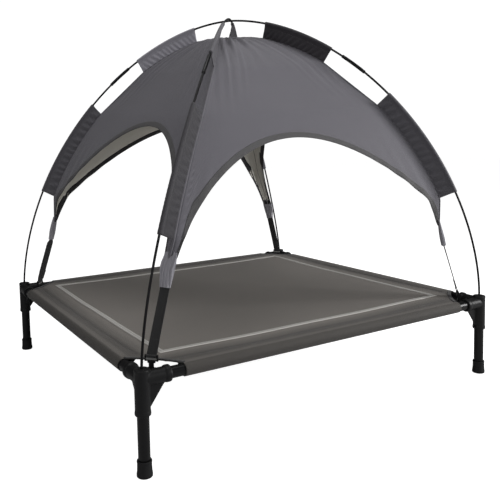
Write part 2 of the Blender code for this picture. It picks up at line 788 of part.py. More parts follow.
def hook_mesh():
    """The hook with its pin on the local Y axis, +X inward from the corner, +Z up."""
    def block(reach, side, z):
        return box_mesh("block", (reach[0], side[0], z[0]), (reach[1], side[1], z[1]))

    depth = 0.0016
    body = cylinder_mesh("strap_hook", PIN_R, (0, -HOOK_HALF + 0.001, 0), (0, HOOK_HALF - 0.001, 0), 12)
    parts = []
    for s in (-1, 1):
        edges = sorted((s * (HOOK_HALF - HOOK_SIDE), s * HOOK_HALF))
        parts.append(block((-depth * 1.4, depth * 1.4), edges, (-HOOK_SILL[1] + 0.001, 0.0024)))
    parts.append(block((-depth, depth), (-HOOK_HALF + 0.0005, HOOK_HALF - 0.0005),
                       (-HOOK_SILL[1], -HOOK_SILL[0])))
    stem = (STEM_R[0] - HINGE[0], STEM_R[1] - HINGE[0])
    parts.append(block(stem, (-STEM_HALF, STEM_HALF), (-CLAW_R[0] - 0.0008, -HOOK_SILL[0] - 0.001)))
    parts.append(claw_mesh())
    return combine(body, parts, "UNION")


def claw_mesh():
    """A curved foot about the pin, so that it swings clear of the eye's bar."""
    figure_sets = []
    steps = 6
    for k in range(steps + 1):
        angle = math.radians(CLAW_ANGLES[0] + (CLAW_ANGLES[1] - CLAW_ANGLES[0]) * k / steps)
        direction = (-math.sin(angle), -math.cos(angle))
        station = []
        for radius, side in ((CLAW_R[0], -1), (CLAW_R[1], -1), (CLAW_R[1], 1), (CLAW_R[0], 1)):
            station.append((direction[0] * radius, side * (STEM_HALF - 0.0002), direction[1] * radius))
        figure_sets.append(station)
    return swept_cells("claw", figure_sets, [(0, 1, 2, 3)])


def make_hooks():
    mesh = hook_mesh()
    for corner in CORNERS:
        leg, inward, side = connector_basis(corner)
        origin = leg + inward * HINGE[0] + np.array([0, 0, HINGE[1]])
        matrix = Matrix.Identity(4)
        for column, axis in enumerate((inward, side, (0, 0, 1), origin)):
            for row in range(3):
                matrix[row][column] = float(axis[row])
        add_object("strap_hook_" + corner, mesh, PLASTIC, matrix)


def make_canopy():
    make_canopy_panel("front", "front_left", "front_right")
    make_canopy_panel("right", "front_right", "back_right")
    make_canopy_panel("back", "back_right", "back_left")
    make_canopy_panel("left", "back_left", "front_left")
    make_sleeves()
    for corner in CORNERS:
        make_tab(corner)
        make_strap(corner)


def main():
    clear_scene()
    make_corners()
    make_side_tubes()
    make_bed_fabric()
    make_border_tape()
    make_poles()
    make_canopy()
    make_hooks()


main()
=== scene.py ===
import math
import bmesh
import bpy
import numpy as np
from mathutils import Matrix, Vector


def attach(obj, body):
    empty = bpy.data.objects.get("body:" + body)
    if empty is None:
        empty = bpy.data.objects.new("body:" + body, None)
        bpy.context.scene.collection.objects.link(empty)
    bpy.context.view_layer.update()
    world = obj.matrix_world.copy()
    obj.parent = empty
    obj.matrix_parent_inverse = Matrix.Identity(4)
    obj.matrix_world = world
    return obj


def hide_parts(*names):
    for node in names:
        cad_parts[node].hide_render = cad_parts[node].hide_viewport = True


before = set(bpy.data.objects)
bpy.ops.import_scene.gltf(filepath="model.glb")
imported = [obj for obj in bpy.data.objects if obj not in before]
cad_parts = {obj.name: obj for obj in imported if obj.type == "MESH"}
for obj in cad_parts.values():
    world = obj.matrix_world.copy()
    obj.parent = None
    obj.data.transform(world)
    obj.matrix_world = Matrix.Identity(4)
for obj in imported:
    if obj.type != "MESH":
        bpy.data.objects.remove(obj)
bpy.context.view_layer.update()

# ---- sizes, in metres, the same as the CAD's ----
SPAN_X, SPAN_Y = 0.906, 0.824
HALF_X, HALF_Y = SPAN_X / 2, SPAN_Y / 2
HALF_DIAGONAL = math.hypot(HALF_X, HALF_Y)
CAP_Z = 0.194
SIDE_Z = 0.1765
TUBE_R = 0.011
POCKET_R = 0.0128
DECK_TOP = SIDE_Z + POCKET_R - 0.0001
ROD_R = 0.0025
ROD_TIP_Z = 0.1727
ARCH_POWER = 1.8
TAPE_INSET, TAPE_HALF = 0.075, 0.0056
BED_THICK = 0.0010
SEAM_INSET = 0.0285
STRAP_WIDTH, STRAP_THICK = 0.0192, 0.0011
# cloth past the tubes' centre lines, both sides together, and shares of the flat sheets used: assumed
BED_ALLOWANCE, BED_SHARE, CANOPY_SHARE = 0.15, 0.965, 0.62
# top height, twist of the top against the feet, its power, lean, shift across and slip along the arch
POLE_SHAPES = {
    "over": (0.9070, math.radians(9.65), 1.26, 0.0, 0.0110, 0.0600),
    "under": (0.8957, math.radians(-6.7), 1.0, -0.0024, 0.0, 0.0),
}
SLIDE = {"front_left": 0.082, "back_right": -0.064}
FERRULE_AT = {"front_left": 0.327, "front_right": 0.345, "back_right": 0.350, "back_left": 0.345}
FERRULE_LENGTH, FERRULE_R = 0.068, 0.0041
PEAK = np.array([0.0, 0.0, 0.852])
SLEEVE_DROP = 0.037
UPPER_SLEEVE = (0.097, 0.279)
LOWER_SLEEVE = (0.457, 0.745)
# turn of the sleeves' flaps about the pole at each end of the two sleeves, in degrees
SLEEVE_TILTS = (13, 13, 13, 13)
SLEEVE_TILTS_FRONT = (-20, 2, 12, 12)
WAIST, WAIST_ASIDE = (0.095, 0.369), {"over": 0.018, "under": -0.012}
TAB_END, TAB_ASIDE = (0.085, 0.320), {"over": 0.014, "under": -0.008}
CORNERS = {"front_left": (-1, -1), "front_right": (1, -1), "back_right": (1, 1), "back_left": (-1, 1)}
PANELS = {
    "front": ("front_left", "front_right"),
    "right": ("front_right", "back_right"),
    "back": ("back_right", "back_left"),
    "left": ("back_left", "front_left"),
}


def pole_of(corner):
    return "over" if CORNERS[corner][0] * CORNERS[corner][1] > 0 else "under"


def sleeve_tilt(corner, distance):
    tilts = SLEEVE_TILTS_FRONT if corner == "front_left" else SLEEVE_TILTS
    return math.radians(np.interp(distance, (*UPPER_SLEEVE, *LOWER_SLEEVE), tilts))


def smooth_step(t):
    t = np.clip(t, 0, 1)
    return t * t * (3 - 2 * t)


def bell(x, centre, width):
    return np.exp(-((x - centre) / width) ** 2)


def unit(vectors):
    """The same directions, one metre long."""
    return vectors / np.linalg.norm(vectors, axis=-1, keepdims=True)


class Arch:
    """Half of a pole, from the crossing down to one corner, measured along its length."""

    def __init__(self, corner):
        sx, sy = CORNERS[corner]
        self.out = np.array([sx * SPAN_X, sy * SPAN_Y, 0.0]) / (2 * HALF_DIAGONAL)
        self.side = np.array([-self.out[1], self.out[0], 0.0])
        self.corner = corner
        top, twist, twist_power, lean, shift, slip = POLE_SHAPES[pole_of(corner)]
        h = np.sin(np.linspace(math.pi / 2, 0, 4001))
        reach = HALF_DIAGONAL * np.clip(1 - h ** ARCH_POWER, 0, 1) ** (1 / ARCH_POWER)
        turn = twist * h ** twist_power
        along = reach * np.cos(turn) + sx * (lean * np.sin(math.pi * h) + slip * h ** 2)
        sideways = reach * np.sin(turn) + sx * shift * h
        self.points = np.outer(along, self.out) + np.outer(sideways, self.side)
        self.points[:, 2] = CAP_Z + (top - CAP_Z) * h
        steps = np.linalg.norm(np.diff(self.points, axis=0), axis=1)
        self.lengths = np.concatenate([[0], np.cumsum(steps)]) - SLIDE.get(corner, 0.0)
        self.length = self.lengths[-1]

    def at(self, distance):
        return np.array([np.interp(distance, self.lengths, self.points[:, k]) for k in range(3)])

    def frame(self, distance):
        """Tangent, the direction across the pole, and the direction towards the arch's inside."""
        near = max(distance - 0.002, self.lengths[0])
        far = min(distance + 0.002, self.length)
        t = unit(self.at(far) - self.at(near))
        level = math.hypot(t[0], t[1])
        out = np.array([t[0], t[1], 0.0]) / level
        inward = t[2] * out - level * np.array([0.0, 0.0, 1.0])
        return t, np.cross(t, inward), inward

    def section(self, distance, figure):
        centre = self.at(distance)
        _, u, v = self.frame(distance)
        return [centre + u * a + v * b for a, b in figure]

    def ridge(self, distance):
        tilt = sleeve_tilt(self.corner, distance)
        c, s = math.cos(tilt), math.sin(tilt)
        return self.section(distance, [(SLEEVE_DROP * s, SLEEVE_DROP * c)])[0]


ARCHES = {corner: Arch(corner) for corner in CORNERS}


def inward_point(corner, place, aside):
    arch = ARCHES[corner]
    return arch.out * (HALF_DIAGONAL - place[0]) + arch.side * aside + np.array([0, 0, place[1]])


def waist_point(corner):
    return inward_point(corner, WAIST, WAIST_ASIDE[pole_of(corner)])


def tab_end_point(corner):
    return inward_point(corner, TAB_END, TAB_ASIDE[pole_of(corner)])


def waist_distance(corner):
    below_sleeve = waist_point(corner) - ARCHES[corner].ridge(LOWER_SLEEVE[1])
    return LOWER_SLEEVE[1] + float(np.linalg.norm(below_sleeve))


def ridge_point(corner, distance):
    """The ridge seam under a pole: along the sleeves, straight between them, down to the waist."""
    arch = ARCHES[corner]
    if distance < UPPER_SLEEVE[0]:
        return PEAK + (arch.ridge(UPPER_SLEEVE[0]) - PEAK) * distance / UPPER_SLEEVE[0]
    if UPPER_SLEEVE[1] < distance < LOWER_SLEEVE[0]:
        start, end = arch.ridge(UPPER_SLEEVE[1]), arch.ridge(LOWER_SLEEVE[0])
        t = (distance - UPPER_SLEEVE[1]) / (LOWER_SLEEVE[0] - UPPER_SLEEVE[1])
        return start + (end - start) * t
    if distance <= LOWER_SLEEVE[1]:
        return arch.ridge(distance)
    start, end = arch.ridge(LOWER_SLEEVE[1]), waist_point(corner)
    t = (distance - LOWER_SLEEVE[1]) / (waist_distance(corner) - LOWER_SLEEVE[1])
    return start + (end - start) * t


# ---- materials ----
class Nodes:
    """A material's node tree, with short calls for the nodes used here."""

    def __init__(self, name, base, roughness, **values):
        self.material = bpy.data.materials.new(name)
        self.material.use_nodes = True
        self.tree = self.material.node_tree
        self.shader = self.tree.nodes["Principled BSDF"]
        self.material.diffuse_color = (*base, 1)
        self.set("Base Color", (*base, 1))
        self.set("Roughness", roughness)
        for key, value in values.items():
            self.set(key.replace("_", " ").title().replace("Ior", "IOR"), value)

    @classmethod
    def of(cls, material):
        """The same calls for a material that is already made."""
        made = cls.__new__(cls)
        made.material = material
        made.tree = material.node_tree
        made.shader = made.tree.nodes["Principled BSDF"]
        return made

    def set(self, socket, value):
        self.shader.inputs[socket].default_value = value

    def add(self, kind, **settings):
        node = self.tree.nodes.new("ShaderNode" + kind)
        for key, value in settings.items():
            if hasattr(node, key):
                setattr(node, key, value)
            else:
                node.inputs[key.replace("_", " ").title()].default_value = value
        return node

    def link(self, source, target):
        self.tree.links.new(source, target)

    def math(self, operation, a, b=None, c=None):
        node = self.tree.nodes.new("ShaderNodeMath")
        node.operation = operation
        for socket, value in zip(node.inputs, (a, b, c)):
            if value is None:
                continue
            if isinstance(value, (int, float)):
                socket.default_value = value
            else:
                self.link(value, socket)
        return node.outputs[0]

    def noise(self, coordinates, scale, detail=3.0, roughness=0.55):
        node = self.tree.nodes.new("ShaderNodeTexNoise")
        node.inputs["Scale"].default_value = scale
        node.inputs["Detail"].default_value = detail
        node.inputs["Roughness"].default_value = roughness
        self.link(coordinates, node.inputs["Vector"])
        return node.outputs["Fac"]

    def place(self):
        return self.tree.nodes.new("ShaderNodeTexCoord").outputs["Object"]

    def cloth_uv(self):
        node = self.tree.nodes.new("ShaderNodeUVMap")
        node.uv_map = "cloth"
        split = self.tree.nodes.new("ShaderNodeSeparateXYZ")
        self.link(node.outputs[0], split.inputs[0])
        return node.outputs[0], split.outputs[0], split.outputs[1]

    def shade(self, factor, dark, light):
        """Base colour from dark to light by a 0 to 1 factor."""
        node = self.tree.nodes.new("ShaderNodeMix")
        node.data_type = "RGBA"
        node.inputs[6].default_value = (*dark, 1)
        node.inputs[7].default_value = (*light, 1)
        self.link(factor, node.inputs[0])
        self.link(node.outputs[2], self.shader.inputs["Base Color"])

    def rough(self, factor, low, high):
        node = self.tree.nodes.new("ShaderNodeMapRange")
        node.inputs[3].default_value = low
        node.inputs[4].default_value = high
        self.link(factor, node.inputs[0])
        self.link(node.outputs[0], self.shader.inputs["Roughness"])

    def bump(self, height, distance, strength=1.0):
        node = self.tree.nodes.new("ShaderNodeBump")
        node.inputs["Strength"].default_value = strength
        node.inputs["Distance"].default_value = distance
        self.link(height, node.inputs["Height"])
        self.link(node.outputs[0], self.shader.inputs["Normal"])


def scaled(colour, factor):
    return tuple(c * factor for c in colour)


def oxford_cloth(name, base, roughness, pitch=0.0011, sheen=0.15, contrast=0.16, relief=0.00022):
    """Coated plain weave: over-and-under threads of uneven shade, with slow variation across it."""
    n = Nodes(name, base, roughness, sheen_weight=sheen, specular_ior_level=0.3)
    n.set("Sheen Roughness", 0.5)
    _, u, v = n.cloth_uv()
    across = n.math("ABSOLUTE", n.math("SINE", n.math("MULTIPLY", u, math.pi / pitch)))
    along = n.math("ABSOLUTE", n.math("SINE", n.math("MULTIPLY", v, math.pi / pitch)))
    cell_u = n.math("FLOOR", n.math("DIVIDE", u, pitch))
    cell_v = n.math("FLOOR", n.math("DIVIDE", v, pitch))
    over = n.math("PINGPONG", n.math("ADD", cell_u, cell_v), 1.0)
    weave = n.math("ADD", n.math("MULTIPLY", across, over),
                   n.math("MULTIPLY", along, n.math("SUBTRACT", 1.0, over)))
    place = n.place()
    slow = n.noise(place, 7.0, 4.0)
    fine = n.noise(place, 420.0, 2.0, 0.7)
    shade = n.math("MULTIPLY_ADD", weave, 0.25, n.math("MULTIPLY", slow, 0.45))
    shade = n.math("ADD", shade, n.math("MULTIPLY", fine, 0.30))
    n.shade(shade, scaled(base, 1 - contrast), scaled(base, 1 + contrast))
    n.rough(fine, roughness - 0.06, roughness + 0.06)
    n.bump(weave, relief, 0.6)
    return n.material


def deck_cloth_painted_shade(name, base):
    """The deck's weave with painted light and shade by distance in from its edge: painted shade under the pockets and
    in the hollow beside the tubes, lighter just off the tubes and towards the middle.
    """
    material = oxford_cloth(name, base, 0.70, 0.0013, 0.08, 0.14)
    n = Nodes.of(material)
    split = n.tree.nodes.new("ShaderNodeSeparateXYZ")
    n.link(n.place(), split.inputs[0])
    inset_x = n.math("SUBTRACT", HALF_X, n.math("ABSOLUTE", split.outputs[0]))
    inset_y = n.math("SUBTRACT", HALF_Y, n.math("ABSOLUTE", split.outputs[1]))
    inset = n.math("MINIMUM", inset_x, inset_y)
    # painted light and shade: a tone for each distance in from the tube, multiplied into the weave's colour
    ramp = n.add("ValToRGB")
    ramp.color_ramp.interpolation = "EASE"
    painted_shade_stops = ((0.0, 0.24), (0.13, 0.32), (0.20, 0.58), (0.28, 0.56),
             (0.36, 0.36), (0.60, 0.38), (0.76, 0.62), (1.0, 0.88))
    while len(ramp.color_ramp.elements) < len(painted_shade_stops):
        ramp.color_ramp.elements.new(0.5)
    for element, (place, tone) in zip(ramp.color_ramp.elements, painted_shade_stops):
        element.position = place
        element.color = (tone, tone, tone, 1)
    n.link(n.math("MULTIPLY_ADD", inset, 1 / TAPE_INSET, 0.17), ramp.inputs[0])
    mix = n.tree.nodes.new("ShaderNodeMix")
    mix.data_type = "RGBA"
    mix.blend_type = "MULTIPLY"
    mix.inputs[0].default_value = 1.0
    socket = n.shader.inputs["Base Color"]
    n.link(socket.links[0].from_socket, mix.inputs[6])
    n.link(ramp.outputs[0], mix.inputs[7])
    n.link(mix.outputs[2], socket)
    return material


def webbing(name, base):
    """Woven tape: a row of chevrons along the strap with a plain edge."""
    n = Nodes(name, base, 0.62, sheen_weight=0.25, specular_ior_level=0.35)
    _, u, v = n.cloth_uv()
    fold = n.math("PINGPONG", n.math("ADD", v, 1.0), 0.0024)
    ribs = n.math("SINE", n.math("MULTIPLY", n.math("ADD", u, fold), 2 * math.pi / 0.0019))
    height = n.math("MULTIPLY_ADD", ribs, 0.5, 0.5)
    fine = n.noise(n.place(), 700.0, 2.0, 0.7)
    n.shade(n.math("MULTIPLY_ADD", height, 0.6, n.math("MULTIPLY", fine, 0.4)),
            scaled(base, 0.55), scaled(base, 1.6))
    n.bump(height, 0.0005, 0.8)
    return n.material


def border_tape(name, base):
    """Grosgrain tape: fine cross ribs, light edges and a darker middle."""
    n = Nodes(name, base, 0.5, sheen_weight=0.2)
    _, u, v = n.cloth_uv()
    ribs = n.math("SINE", n.math("MULTIPLY", u, 2 * math.pi / 0.0012))
    height = n.math("MULTIPLY_ADD", ribs, 0.5, 0.5)
    edge = n.math("SMOOTH_MIN", n.math("MULTIPLY", n.math("ABSOLUTE", v), 1 / 0.0042), 1.0, 0.3)
    fine = n.noise(n.place(), 260.0, 3.0, 0.7)
    mix = n.math("MULTIPLY_ADD", edge, 0.62, n.math("MULTIPLY", fine, 0.30))
    n.shade(n.math("MULTIPLY_ADD", height, 0.10, mix), scaled(base, 0.42), scaled(base, 1.12))
    n.bump(height, 0.0002, 0.6)
    return n.material


def grained(name, base, roughness, fine, slow, blend, tones, rough, relief, **values):
    """A fine grain in relief and a slower change of shade, both noises of (scale, detail, roughness).

    blend is the fine grain's share of the shade and of the roughness; tones and rough are their ranges.
    """
    n = Nodes(name, base, roughness, **values)
    place = n.place()
    grain = n.noise(place, *fine)
    change = n.noise(place, *slow) if slow else grain

    def mixed(share):
        if not share or not slow:
            return change
        return n.math("MULTIPLY_ADD", change, 1 - share, n.math("MULTIPLY", grain, share))
    n.shade(mixed(blend[0]), scaled(base, tones[0]), scaled(base, tones[1]))
    if rough:
        n.rough(mixed(blend[1]), *rough)
    n.bump(grain, *relief)
    return n.material


def moulded_plastic(name, base):
    """Satin nylon with the fine grain of a spark-eroded mould."""
    return grained(name, base, 0.42, (1400.0, 2.0, 0.7), (26.0, 4.0), (0, 0.4), (0.75, 1.35),
                   (0.32, 0.54), (0.00008, 0.5), specular_ior_level=0.18)


def powder_coat(name, base):
    """Semi-gloss powder coat with orange peel."""
    return grained(name, base, 0.3, (650.0, 1.0, 0.4), (18.0, 3.0), (0, 0), (0.8, 1.3),
                   (0.24, 0.36), (0.00006, 0.35),
                   coat_weight=0.05, coat_roughness=0.18, specular_ior_level=0.18)


def soft_rubber(name, base):
    return grained(name, base, 0.72, (900.0, 3.0, 0.8), (60.0, 5.0, 0.7), (0.3, 0), (0.7, 1.7),
                   (0.62, 0.85), (0.0001, 0.6), specular_ior_level=0.2)


def satin_metal(name, base):
    return grained(name, base, 0.34, (800.0, 3.0, 0.7), None, (0, 0), (0.8, 1.15),
                   (0.28, 0.45), (0.00005, 0.4), metallic=0.55)


def twisted_thread(name, base):
    return grained(name, base, 0.6, (2600.0, 2.0, 0.6), None, (0, 0), (0.6, 1.4),
                   None, (0.0001, 0.6), sheen_weight=0.3)


def glass_fibre(name, base):
    """Pultruded rod: fine streaks along it under a smooth resin skin."""
    n = Nodes(name, base, 0.3, coat_weight=0.04, coat_roughness=0.12, specular_ior_level=0.12)
    u = n.cloth_uv()[1]
    wander = n.math("MULTIPLY", n.noise(n.place(), 60.0), 9.0)
    streak = n.math("SINE", n.math("MULTIPLY_ADD", u, 9000.0, wander))
    n.shade(n.math("MULTIPLY_ADD", streak, 0.5, 0.5), scaled(base, 0.8), scaled(base, 1.4))
    n.bump(streak, 0.00003, 0.4)
    return n.material


PLASTIC = moulded_plastic("moulded_black_plastic", (0.0065, 0.0065, 0.0070))
STEEL = powder_coat("black_powder_coat", (0.0045, 0.0045, 0.0050))
RUBBER = soft_rubber("black_moulded_rubber", (0.0075, 0.0075, 0.0080))
RESIN = glass_fibre("black_glass_fibre", (0.0045, 0.0045, 0.0050))
# the deck cloth carries painted light and shade by distance from its edge
BED_PAINTED_SHADE = deck_cloth_painted_shade("bed_oxford_weave_painted_shade", (0.182, 0.166, 0.150))
BED_BACK = oxford_cloth("bed_oxford_reverse", (0.040, 0.038, 0.036), 0.8, 0.0013, 0.05, 0.14)
BED_TRIM = oxford_cloth("bed_corner_binding", (0.020, 0.019, 0.019), 0.75, 0.0012)
TAPE = border_tape("light_grey_border_tape", (0.50, 0.485, 0.455))
SHADE_OUT = oxford_cloth("canopy_cloth_outside", (0.094, 0.090, 0.105), 0.62, 0.0010, 0.18, 0.10)
SHADE_IN = oxford_cloth("canopy_cloth_coating", (0.60, 0.58, 0.53), 0.7, 0.0010, 0.10, 0.10)
# painted light: the canopy's outside cloth made about two and a half times lighter for the gathered corner tabs
TAB_CLOTH_PAINTED_LIGHT = oxford_cloth("gathered_canopy_cloth_painted_light", (0.25, 0.244, 0.27), 0.62, 0.0010, 0.18, 0.10)
TRIM_OUT = oxford_cloth("hem_binding_outside", (0.060, 0.058, 0.060), 0.68, 0.0012, 0.12, 0.12)
TRIM_IN = oxford_cloth("hem_binding_inside", (0.024, 0.023, 0.025), 0.75, 0.0012, 0.08, 0.12)
# sleeve_cloth is the plain sleeve cloth; the lighter copy before it is painted light, and the two darker copies after
# it are painted shade, each for single sleeves
FLAP_PAINTED_LIGHT = oxford_cloth("sleeve_cloth_painted_light", (0.235, 0.228, 0.26), 0.6, 0.0010, 0.22, 0.12)
FLAP = oxford_cloth("sleeve_cloth", (0.070, 0.067, 0.077), 0.64, 0.0010, 0.2, 0.12)
FLAP_FRONT_PAINTED_SHADE = oxford_cloth("sleeve_cloth_front_painted_shade", (0.027, 0.025, 0.030), 0.64, 0.0010, 0.14, 0.12)
FLAP_PAINTED_SHADE = oxford_cloth("sleeve_cloth_painted_shade", (0.030, 0.027, 0.032), 0.64, 0.0010, 0.12, 0.12)
STRAP = webbing("black_woven_webbing", (0.0055, 0.0055, 0.0060))
GREY_BAR = satin_metal("grey_metal_bar", (0.33, 0.33, 0.325))
DARK_THREAD = twisted_thread("dark_thread", (0.030, 0.029, 0.031))
LIGHT_THREAD = twisted_thread("light_thread", (0.34, 0.33, 0.31))


# ---- mesh helpers ----
def new_object(name, data):
    made = bpy.data.objects.new(name, data)
    bpy.context.scene.collection.objects.link(made)
    return made


def add_piece(name, points, faces, corner_uv=None, materials=(), face_slots=None, smooth=True):
    mesh = bpy.data.meshes.new(name)
    mesh.from_pydata(np.asarray(points, float).reshape(-1, 3).tolist(), [], faces)
    if corner_uv is not None:
        mesh.uv_layers.new(name="cloth").data.foreach_set("uv", np.asarray(corner_uv, np.float32).ravel())
    for material in materials:
        mesh.materials.append(material)
    if face_slots is not None:
        mesh.polygons.foreach_set("material_index", np.asarray(face_slots, np.int32))
    mesh.polygons.foreach_set("use_smooth", [smooth] * len(mesh.polygons))
    mesh.update()
    return new_object(name, mesh)


def grid_faces(rows, columns, wrap=False, start=0):
    """Quads of a grid and, for each of their corners, its row and column."""
    r, c = np.meshgrid(np.arange(rows - 1), np.arange(columns - (0 if wrap else 1)), indexing="ij")
    r, c = r.ravel(), c.ravel()
    d = (c + 1) % columns
    here, below = r * columns, (r + 1) * columns
    faces = np.stack([here + c, here + d, below + d, below + c], 1) + start
    places = np.stack([np.stack([r, c], 1), np.stack([r, c + 1], 1),
                       np.stack([r + 1, c + 1], 1), np.stack([r + 1, c], 1)], 1)
    return faces.tolist(), places.reshape(-1, 2)


def lengths_along(points):
    steps = np.linalg.norm(np.diff(points, axis=0), axis=1)
    return np.concatenate([[0], np.cumsum(steps)])


def swept(name, sections, materials, slots=None, capped=True, smooth=True):
    """A closed section (rows x around x 3) swept along its rows, with cloth coordinates in metres."""
    grid = np.asarray(sections, float)
    rows, around = grid.shape[:2]
    faces, places = grid_faces(rows, around, wrap=True)
    centre = grid.mean(axis=1)
    u = lengths_along(centre)
    ring = np.concatenate([grid, grid[:, :1]], axis=1)
    v = np.stack([lengths_along(row) for row in ring])
    uv = np.stack([u[places[:, 0]], v[places[:, 0], places[:, 1]]], 1)
    face_slots = None
    if slots is not None:
        face_slots = list(np.tile(slots, rows - 1))
    if capped:
        faces = faces + [list(range(around)), [(rows - 1) * around + k for k in range(around)]]
        uv = np.concatenate([uv, np.zeros((2 * around, 2))])
        if face_slots is not None:
            face_slots += [0, 0]
    piece = add_piece(name, grid, faces, uv, materials, face_slots, smooth)
    outward(piece)
    return piece


def outward(piece):
    bm = bmesh.new()
    bm.from_mesh(piece.data)
    bmesh.ops.recalc_face_normals(bm, faces=bm.faces)
    bm.to_mesh(piece.data)
    bm.free()


def weld(piece, gap, upper_face, sliver=0.0):
    """Joins points closer than gap and turns the faces so that the chosen one looks up; gives the area."""
    bm = bmesh.new()
    bm.from_mesh(piece.data)
    bmesh.ops.remove_doubles(bm, verts=bm.verts, dist=gap)
    if sliver:
        bmesh.ops.dissolve_degenerate(bm, edges=bm.edges, dist=sliver)
    bmesh.ops.recalc_face_normals(bm, faces=bm.faces)
    if upper_face(list(bm.faces)).normal.z < 0:
        bmesh.ops.reverse_faces(bm, faces=bm.faces)
    bm.to_mesh(piece.data)
    area = sum(f.calc_area() for f in bm.faces)
    bm.free()
    return area


def thicken(piece, thickness, rim=0):
    """Gives cloth its thickness inwards, with the second material inside and one of them on the rim."""
    solid = piece.modifiers.new("cloth", "SOLIDIFY")
    solid.thickness = thickness
    solid.offset = -1
    solid.material_offset = 1
    solid.material_offset_rim = rim
    bake_modifiers(piece)


def bake_modifiers(piece):
    graph = bpy.context.evaluated_depsgraph_get()
    mesh = bpy.data.meshes.new_from_object(piece.evaluated_get(graph))
    piece.modifiers.clear()
    piece.data = mesh


def sharpen(piece, degrees=35):
    piece.data.set_sharp_from_angle(angle=math.radians(degrees))


def circle_points(radius, count, phase=0.0):
    a = np.arange(count) * 2 * math.pi / count + phase
    return np.stack([radius * np.cos(a), radius * np.sin(a)], 1)


def turned(name, profile, material, count=56):
    """A solid of revolution about Z from (radius, height) points, closed on the axis at its ends."""
    rows = [np.column_stack([circle_points(max(r, 1e-5), count), np.full(count, z)]) for r, z in profile]
    return swept(name, rows, [material])


def on_bed(piece, *nodes, slot):
    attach(piece, "bed")
    if nodes:
        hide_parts(*nodes)
    return piece


def stitches(name, rows, material, slot, pitch=0.0048, length=0.0034, radius=0.00033):
    """Small raised stitches along several lines; each line is (points, outward directions)."""
    points, faces = [], []
    for line, normals in rows:
        line, normals = np.asarray(line, float), np.asarray(normals, float)
        s = lengths_along(line)
        count = int(s[-1] / pitch)
        for k in range(count):
            ends = [(k + 0.5) * pitch - length / 2, (k + 0.5) * pitch + length / 2]
            a, b = (np.array([np.interp(e, s, line[:, i]) for i in range(3)]) for e in ends)
            normal = unit(np.array([np.interp(ends[0], s, normals[:, i]) for i in range(3)]))
            along = (b - a) / max(np.linalg.norm(b - a), 1e-9)
            side = np.cross(along, normal)
            first = len(points)
            for t, r in ((0.0, 0.35), (0.22, 1.0), (0.78, 1.0), (1.0, 0.35)):
                centre = a + (b - a) * t
                for q in range(5):
                    w = q * 2 * math.pi / 5
                    points.append(centre + (side * math.cos(w) + normal * math.sin(w)) * radius * r)
            for j in range(first, first + 15, 5):
                for q in range(5):
                    p = (q + 1) % 5
                    faces.append([j + q, j + p, j + 5 + p, j + 5 + q])
            faces.append([first + q for q in range(5)])
            faces.append([first + 15 + q for q in range(5)])
    return on_bed(add_piece(name, points, faces, None, [material]), slot=slot)


# ---- poles and ferrules ----
def rod_sections(corner, distances, figure, mirror=False):
    figure = [(-a, b) for a, b in figure] if mirror else figure
    return [ARCHES[corner].section(d, figure) for d in distances]


def middle_distances(corner):
    return np.linspace(FERRULE_AT[corner] - 0.0005, ARCHES[corner].lengths[0] + 0.003, 44)


def make_poles():
    figure = circle_points(ROD_R, 14).tolist()
    for name, first, second in (("pole_middle_over", "front_left", "back_right"),
                                ("pole_middle_under", "front_right", "back_left")):
        rows = rod_sections(first, middle_distances(first), figure)
        rows += rod_sections(second, middle_distances(second)[::-1], figure, mirror=True)
        on_bed(swept(name + "_rod", rows, [RESIN]), name, slot="black_fibreglass")
    for corner, arch in ARCHES.items():
        rows = rod_sections(corner, np.linspace(FERRULE_AT[corner] + 0.0005, arch.length - 0.012, 70), figure)
        foot = arch.at(arch.length)
        u = unit(arch.frame(arch.length - 0.012)[1] * (1, 1, 0))
        v = np.cross(u, (0, 0, -1))
        for z in (CAP_Z + 0.001, ROD_TIP_Z):
            rows.append([np.array([foot[0], foot[1], z]) + u * a + v * b for a, b in figure])
        on_bed(swept(f"pole_end_{corner}_rod", rows, [RESIN]), "pole_end_" + corner, slot="black_fibreglass")
        make_ferrule(corner)


def make_ferrule(corner):
    """A drawn steel sleeve with rolled ends and two crimped rings."""
    half = FERRULE_LENGTH / 2
    profile = [(-half, 0.0030), (-half, 0.0036), (-half + 0.0006, 0.0040), (-half + 0.0014, FERRULE_R)]
    for ring in (-half + 0.006, half - 0.006):
        profile += [(ring - 0.0012, FERRULE_R), (ring - 0.0004, FERRULE_R - 0.0004),
                    (ring + 0.0004, FERRULE_R - 0.0004), (ring + 0.0012, FERRULE_R)]
        if ring < 0:
            profile += [(x, FERRULE_R) for x in np.linspace(-0.024, 0.024, 7)]
    profile += [(half - 0.0014, FERRULE_R), (half - 0.0006, 0.0040), (half, 0.0036), (half, 0.0030)]
    at = FERRULE_AT[corner]
    rows = [ARCHES[corner].section(at + x, circle_points(r, 20).tolist()) for x, r in profile]
    sleeve = swept(f"pole_ferrule_{corner}_sleeve", rows, [STEEL])
    on_bed(sleeve, "pole_ferrule_" + corner, slot="black_steel")


# ---- frame ----
def corner_matrix(corner):
    sx, sy = CORNERS[corner]
    turns = list(CORNERS).index(corner)
    return Matrix.Translation((sx * HALF_X, sy * HALF_Y, 0)) @ Matrix.Rotation(turns * math.pi / 2, 4, "Z")


def basis_matrix(*columns):
    """The placing matrix made of three axes and an origin."""
    matrix = Matrix.Identity(4)
    for column, axis in enumerate(columns):
        for row in range(3):
            matrix[row][column] = float(axis[row])
    return matrix


def placed_copy(piece, name, matrix):
    copy = new_object(name, piece.data)
    copy.matrix_world = matrix
    return copy


